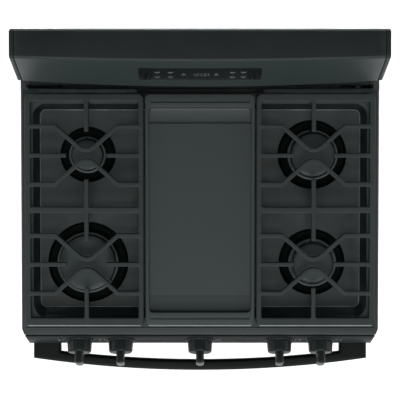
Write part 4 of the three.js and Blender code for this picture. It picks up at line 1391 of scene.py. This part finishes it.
# touch keys and the clock's figures
def makeKeyMarks():
    settings = markSettings
    bm = bmesh.new()
    across, downs = settings["keys"]
    for x in across:
        for along in downs:
            for down, *bar in settings["keyBars"]:
                addMark(bm, x, along + down, *bar)
    across, along = settings["menus"]
    for x in across:
        for down, *bar in settings["menuBars"]:
            addMark(bm, x, along + down, *bar)
    for figure, x in zip("1200", settings["figureX"]):
        for stroke in settings["figures"][figure]:
            dx, dy, halfX, halfY = settings["strokes"][stroke]
            addMark(bm, x + dx, settings["clockDown"] + dy, halfX, halfY, 0.5)
    for dy in (-2.6, 2.6):
        addMark(bm, settings["colonX"], settings["clockDown"] + dy, 0.6, 0.6, 0.55)
    settle(linkPiece("control_marks", bm, 50), "root", "keyMark")


makeBackguardShell()
makeBackguardEnds()
makeControlGlass()
makeKeyMarks()
print("backguard ready")

# door, handle and drawer

pressedSettings = {"edge": 4.5, "corner": 7, "wall": 1.5, "drawerWall": 2}
windowSettings = {
    "half": (255, 150), "corner": 12, "hingeGap": 4,
    # half width, half height and depth of each line of the trim
    "trim": ((252, 147, 1.6), (252, 147, -0.4), (253.4, 148.4, -1.2), (257.5, 152.5, -1.2),
             (259, 154, -0.2), (259, 154, 0.2), (255, 150, 0.2), (254.6, 149.6, 1.6)),
}
handleSettings = {"bow": 27, "thickness": 23, "bracket": 61, "edge": 6.5, "stations": 40}


# a pan pressed from sheet: rounded front edges, open at the back
def addPressedPan(bm, low, high, wall):
    edge = pressedSettings["edge"] * mm
    half = (high - low) / 2
    middle = (high + low) / 2
    outline = roundedRectangle(half.x, half.z, pressedSettings["corner"] * mm, (middle.x, middle.z))
    depth = high.y - low.y
    levels = []
    for k in range(6):
        turn = math.pi / 2 * k / 5
        levels.append((edge * (1 - math.sin(turn)), edge * (1 - math.cos(turn))))
    levels += [(0, depth), (wall, depth), (wall, edge)]
    levels += [(wall + edge * 0.3, wall + edge * 0.3), (edge, wall)]
    outline = anticlockwise(outline)
    addRings(bm, [[Vector((x, low.y + back, z)) for x, z in offsetOutline(outline, inset)]
                  for inset, back in levels])


def makeDoorSkin():
    node = "door_outer_panel"
    low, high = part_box(node)
    bm = bmesh.new()
    addPressedPan(bm, low, high, pressedSettings["wall"] * mm)
    piece = linkPiece(node + "_pressed", bm, 40)
    cutter = bmesh.new()
    centreZ = spot("door_outer_glass")[2].z
    halfX, halfZ = windowSettings["half"]
    outline = roundedRectangle(halfX * mm, halfZ * mm, windowSettings["corner"] * mm, (0, centreZ))
    addPlate(cutter, outline, low.y - 5 * mm, low.y + 25 * mm, 0.1 * mm, 1,
             lambda p: Vector((p.x, p.z, p.y)))
    gap = windowSettings["hingeGap"] * mm
    for name in ("left", "right"):
        hingeLow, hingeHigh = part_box("door_hinge_" + name)
        addBlock(cutter, (hingeLow.x - gap, low.y + 1.6 * mm, low.z - 5 * mm),
                 (hingeHigh.x + gap, high.y + 5 * mm, hingeHigh.z + 10 * mm))
    cutAway(piece, cutter, 40)
    settle(piece, "oven_door", "bodyPaint", [node])


def makeWindowTrim():
    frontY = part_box("door_outer_panel")[0].y
    centreZ = spot("door_outer_glass")[2].z
    rings = []
    for halfX, halfZ, depth in windowSettings["trim"]:
        outline = roundedRectangle(halfX * mm, halfZ * mm, windowSettings["corner"] * mm, (0, centreZ))
        rings.append([Vector((x, frontY + depth * mm, z)) for x, z in outline])
    bm = bmesh.new()
    addRings(bm, rings + rings[:1], closeEnds=False)
    bmesh.ops.remove_doubles(bm, verts=bm.verts, dist=1e-6)
    settle(linkPiece("door_window_trim", bm, 40), "oven_door", "panelPaint")


def makeDrawerFront():
    low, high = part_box("drawer_front")
    bm = bmesh.new()
    addPressedPan(bm, low, high, pressedSettings["drawerWall"] * mm)
    piece = linkPiece("drawer_front_pressed", bm, 40)
    settle(piece, "storage_drawer", "bodyPaint", ["drawer_front"])


def makeHandle():
    settings = handleSettings
    low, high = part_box("door_handle")
    bow, thickness = settings["bow"] * mm, settings["thickness"] * mm
    inner = high.x - settings["bracket"] * mm
    count = settings["stations"]
    front = [(high.x * t, low.y + bow * t * t) for t in (2 * k / count - 1 for k in range(count + 1))]
    back = [(inner * t, low.y + bow * (inner * t / high.x) ** 2 + thickness)
            for t in (1 - 2 * k / count for k in range(count + 1))]
    outline = [(low.x, high.y)] + front + [(high.x, high.y), (inner, high.y)] + back + [(-inner, high.y)]
    bm = bmesh.new()
    addPlate(bm, outline, low.z, high.z, settings["edge"] * mm, 6)
    settle(linkPiece("door_handle_cast", bm, 50), "oven_door", "bodyPaint", ["door_handle"])


makeDoorSkin()
makeWindowTrim()
makeDrawerFront()
makeHandle()
print("door and drawer ready")

# oven racks

rackSettings = {
    "count": 21, "wire": 1.9, "frameWire": 3.0, "sideGap": 12, "corner": 14, "tieEnd": 4,
    "ties": (0.3, 0.7),      # shares of the depth
}


def makeRack(node, body):
    settings = rackSettings
    low, high, middle = spot(node)
    wire, frameWire, gap = (settings[key] * mm for key in ("wire", "frameWire", "sideGap"))
    z = middle.z
    front, back = low.y + frameWire, high.y - frameWire
    dip = z - 0.4 * frameWire
    path = [(0, front, dip), (0, front, z + wire), (0, back, z + wire), (0, back, dip)]
    step = (high.x - low.x - 2 * gap) / (settings["count"] - 1)
    values = {"Count": settings["count"], "Step": (step, 0, 0), "First": (low.x + gap, 0, 0),
              "Wire Radius": wire, "Bend Radius": 2 * wire}
    row = growPiece(node + "_wires", "wires", values, "chromeWire", pathMesh(path))
    settle(row, body, "chromeWire")
    half = (high - low) / 2
    loop = roundedRectangle(half.x - frameWire, half.y - frameWire, settings["corner"] * mm,
                            (middle.x, middle.y), 8)
    bm = bmesh.new()
    addClosedTube(bm, [Vector((x, y, z - 0.2 * mm)) for x, y in loop], frameWire * 0.95, 12)
    end = settings["tieEnd"] * mm
    for share in settings["ties"]:
        y = low.y + (high.y - low.y) * share
        addTube(bm, [(x, y, z - wire) for x in (low.x + end, high.x - end)], frameWire * 0.75, 12)
    settle(linkPiece(node + "_frame", bm, 50), body, "chromeWire", [node])


makeRack("oven_rack_lower", "rack_lower")
makeRack("oven_rack_upper", "rack_upper")
print("racks ready")

# levelling legs

legSettings = {
    "pitch": 1.6, "rodRadius": 4.9, "threadDepth": 0.6, "threadFrom": 10,
    # in from the pad's edge and up from the floor
    "pad": ((2, 0), (0.4, 0.8), (0, 2.4), (0, 5), (1, 6.4)),
}


def makeLeg(node, body):
    settings = legSettings
    low, high, middle = spot(node)
    pad, height = (high.x - low.x) / 2 / mm, (high.z - low.z) / mm
    rod, pitch = settings["rodRadius"], settings["pitch"]
    profile = [(0, 0)] + [(pad - inset, up) for inset, up in settings["pad"]] + [(rod + 4, 8), (rod, 9)]
    z = settings["threadFrom"]
    while z < height - 2:
        profile += [(rod, z), (rod - settings["threadDepth"], z + pitch / 2)]
        z += pitch
    profile += [(rod - 0.4, height), (0, height)]
    piece = turnedPiece(node + "_threaded", profile, Vector((middle.x, middle.y, low.z)), 40, 30)
    settle(piece, body, "trimPlastic", [node])


for side in ("left", "right"):
    for end in ("front", "rear"):
        makeLeg("levelling_leg_%s_%s" % (side, end), "foot_%s_%s" % (side, end))

# screws


fixingSettings = {
    "rearInset": 14, "rearRows": 6, "rearAcross": (-240, -80, 80, 240),
    "coverTop": 60, "coverBottom": 12, "coverAcross": (-350, -210, -70, 70, 210, 350),
    "sideInset": 14, "sideShares": (0.06, 0.35, 0.65, 0.94), "sideCorner": 16,
}


def makeFixings():
    settings = fixingSettings
    low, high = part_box("rear_panel")
    inset, count = settings["rearInset"] * mm, settings["rearRows"]
    rows = [low.z + inset + (high.z - low.z - 2 * inset) * k / (count - 1) for k in range(count)]
    points = [(side * (high.x - inset), high.y, z) for side in (-1, 1) for z in rows]
    points += [(x * mm, high.y, z) for x in settings["rearAcross"] for z in (rows[0], rows[-1])]
    addScrews("rear_panel_screws", "root", points, (0, 1, 0))
    low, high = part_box("backguard_rear_cover")
    rows = (high.z - settings["coverTop"] * mm, low.z + settings["coverBottom"] * mm)
    points = [(x * mm, high.y, z) for x in settings["coverAcross"] for z in rows]
    addScrews("backguard_cover_screws", "root", points, (0, 1, 0))
    for side, name in ((-1, "left"), (1, "right")):
        low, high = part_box("side_panel_" + name)
        x = low.x if side < 0 else high.x
        back, tall = high.y - settings["sideInset"] * mm, high.z - low.z
        points = [(x, back, low.z + tall * share) for share in settings["sideShares"]]
        corner = settings["sideCorner"] * mm
        points += [(x, low.y + corner, low.z + corner)]
        addScrews("side_screws_" + name, "root", points, (side, 0, 0), "bodyPaint", 0.9)


makeFixings()
print("fixings ready")
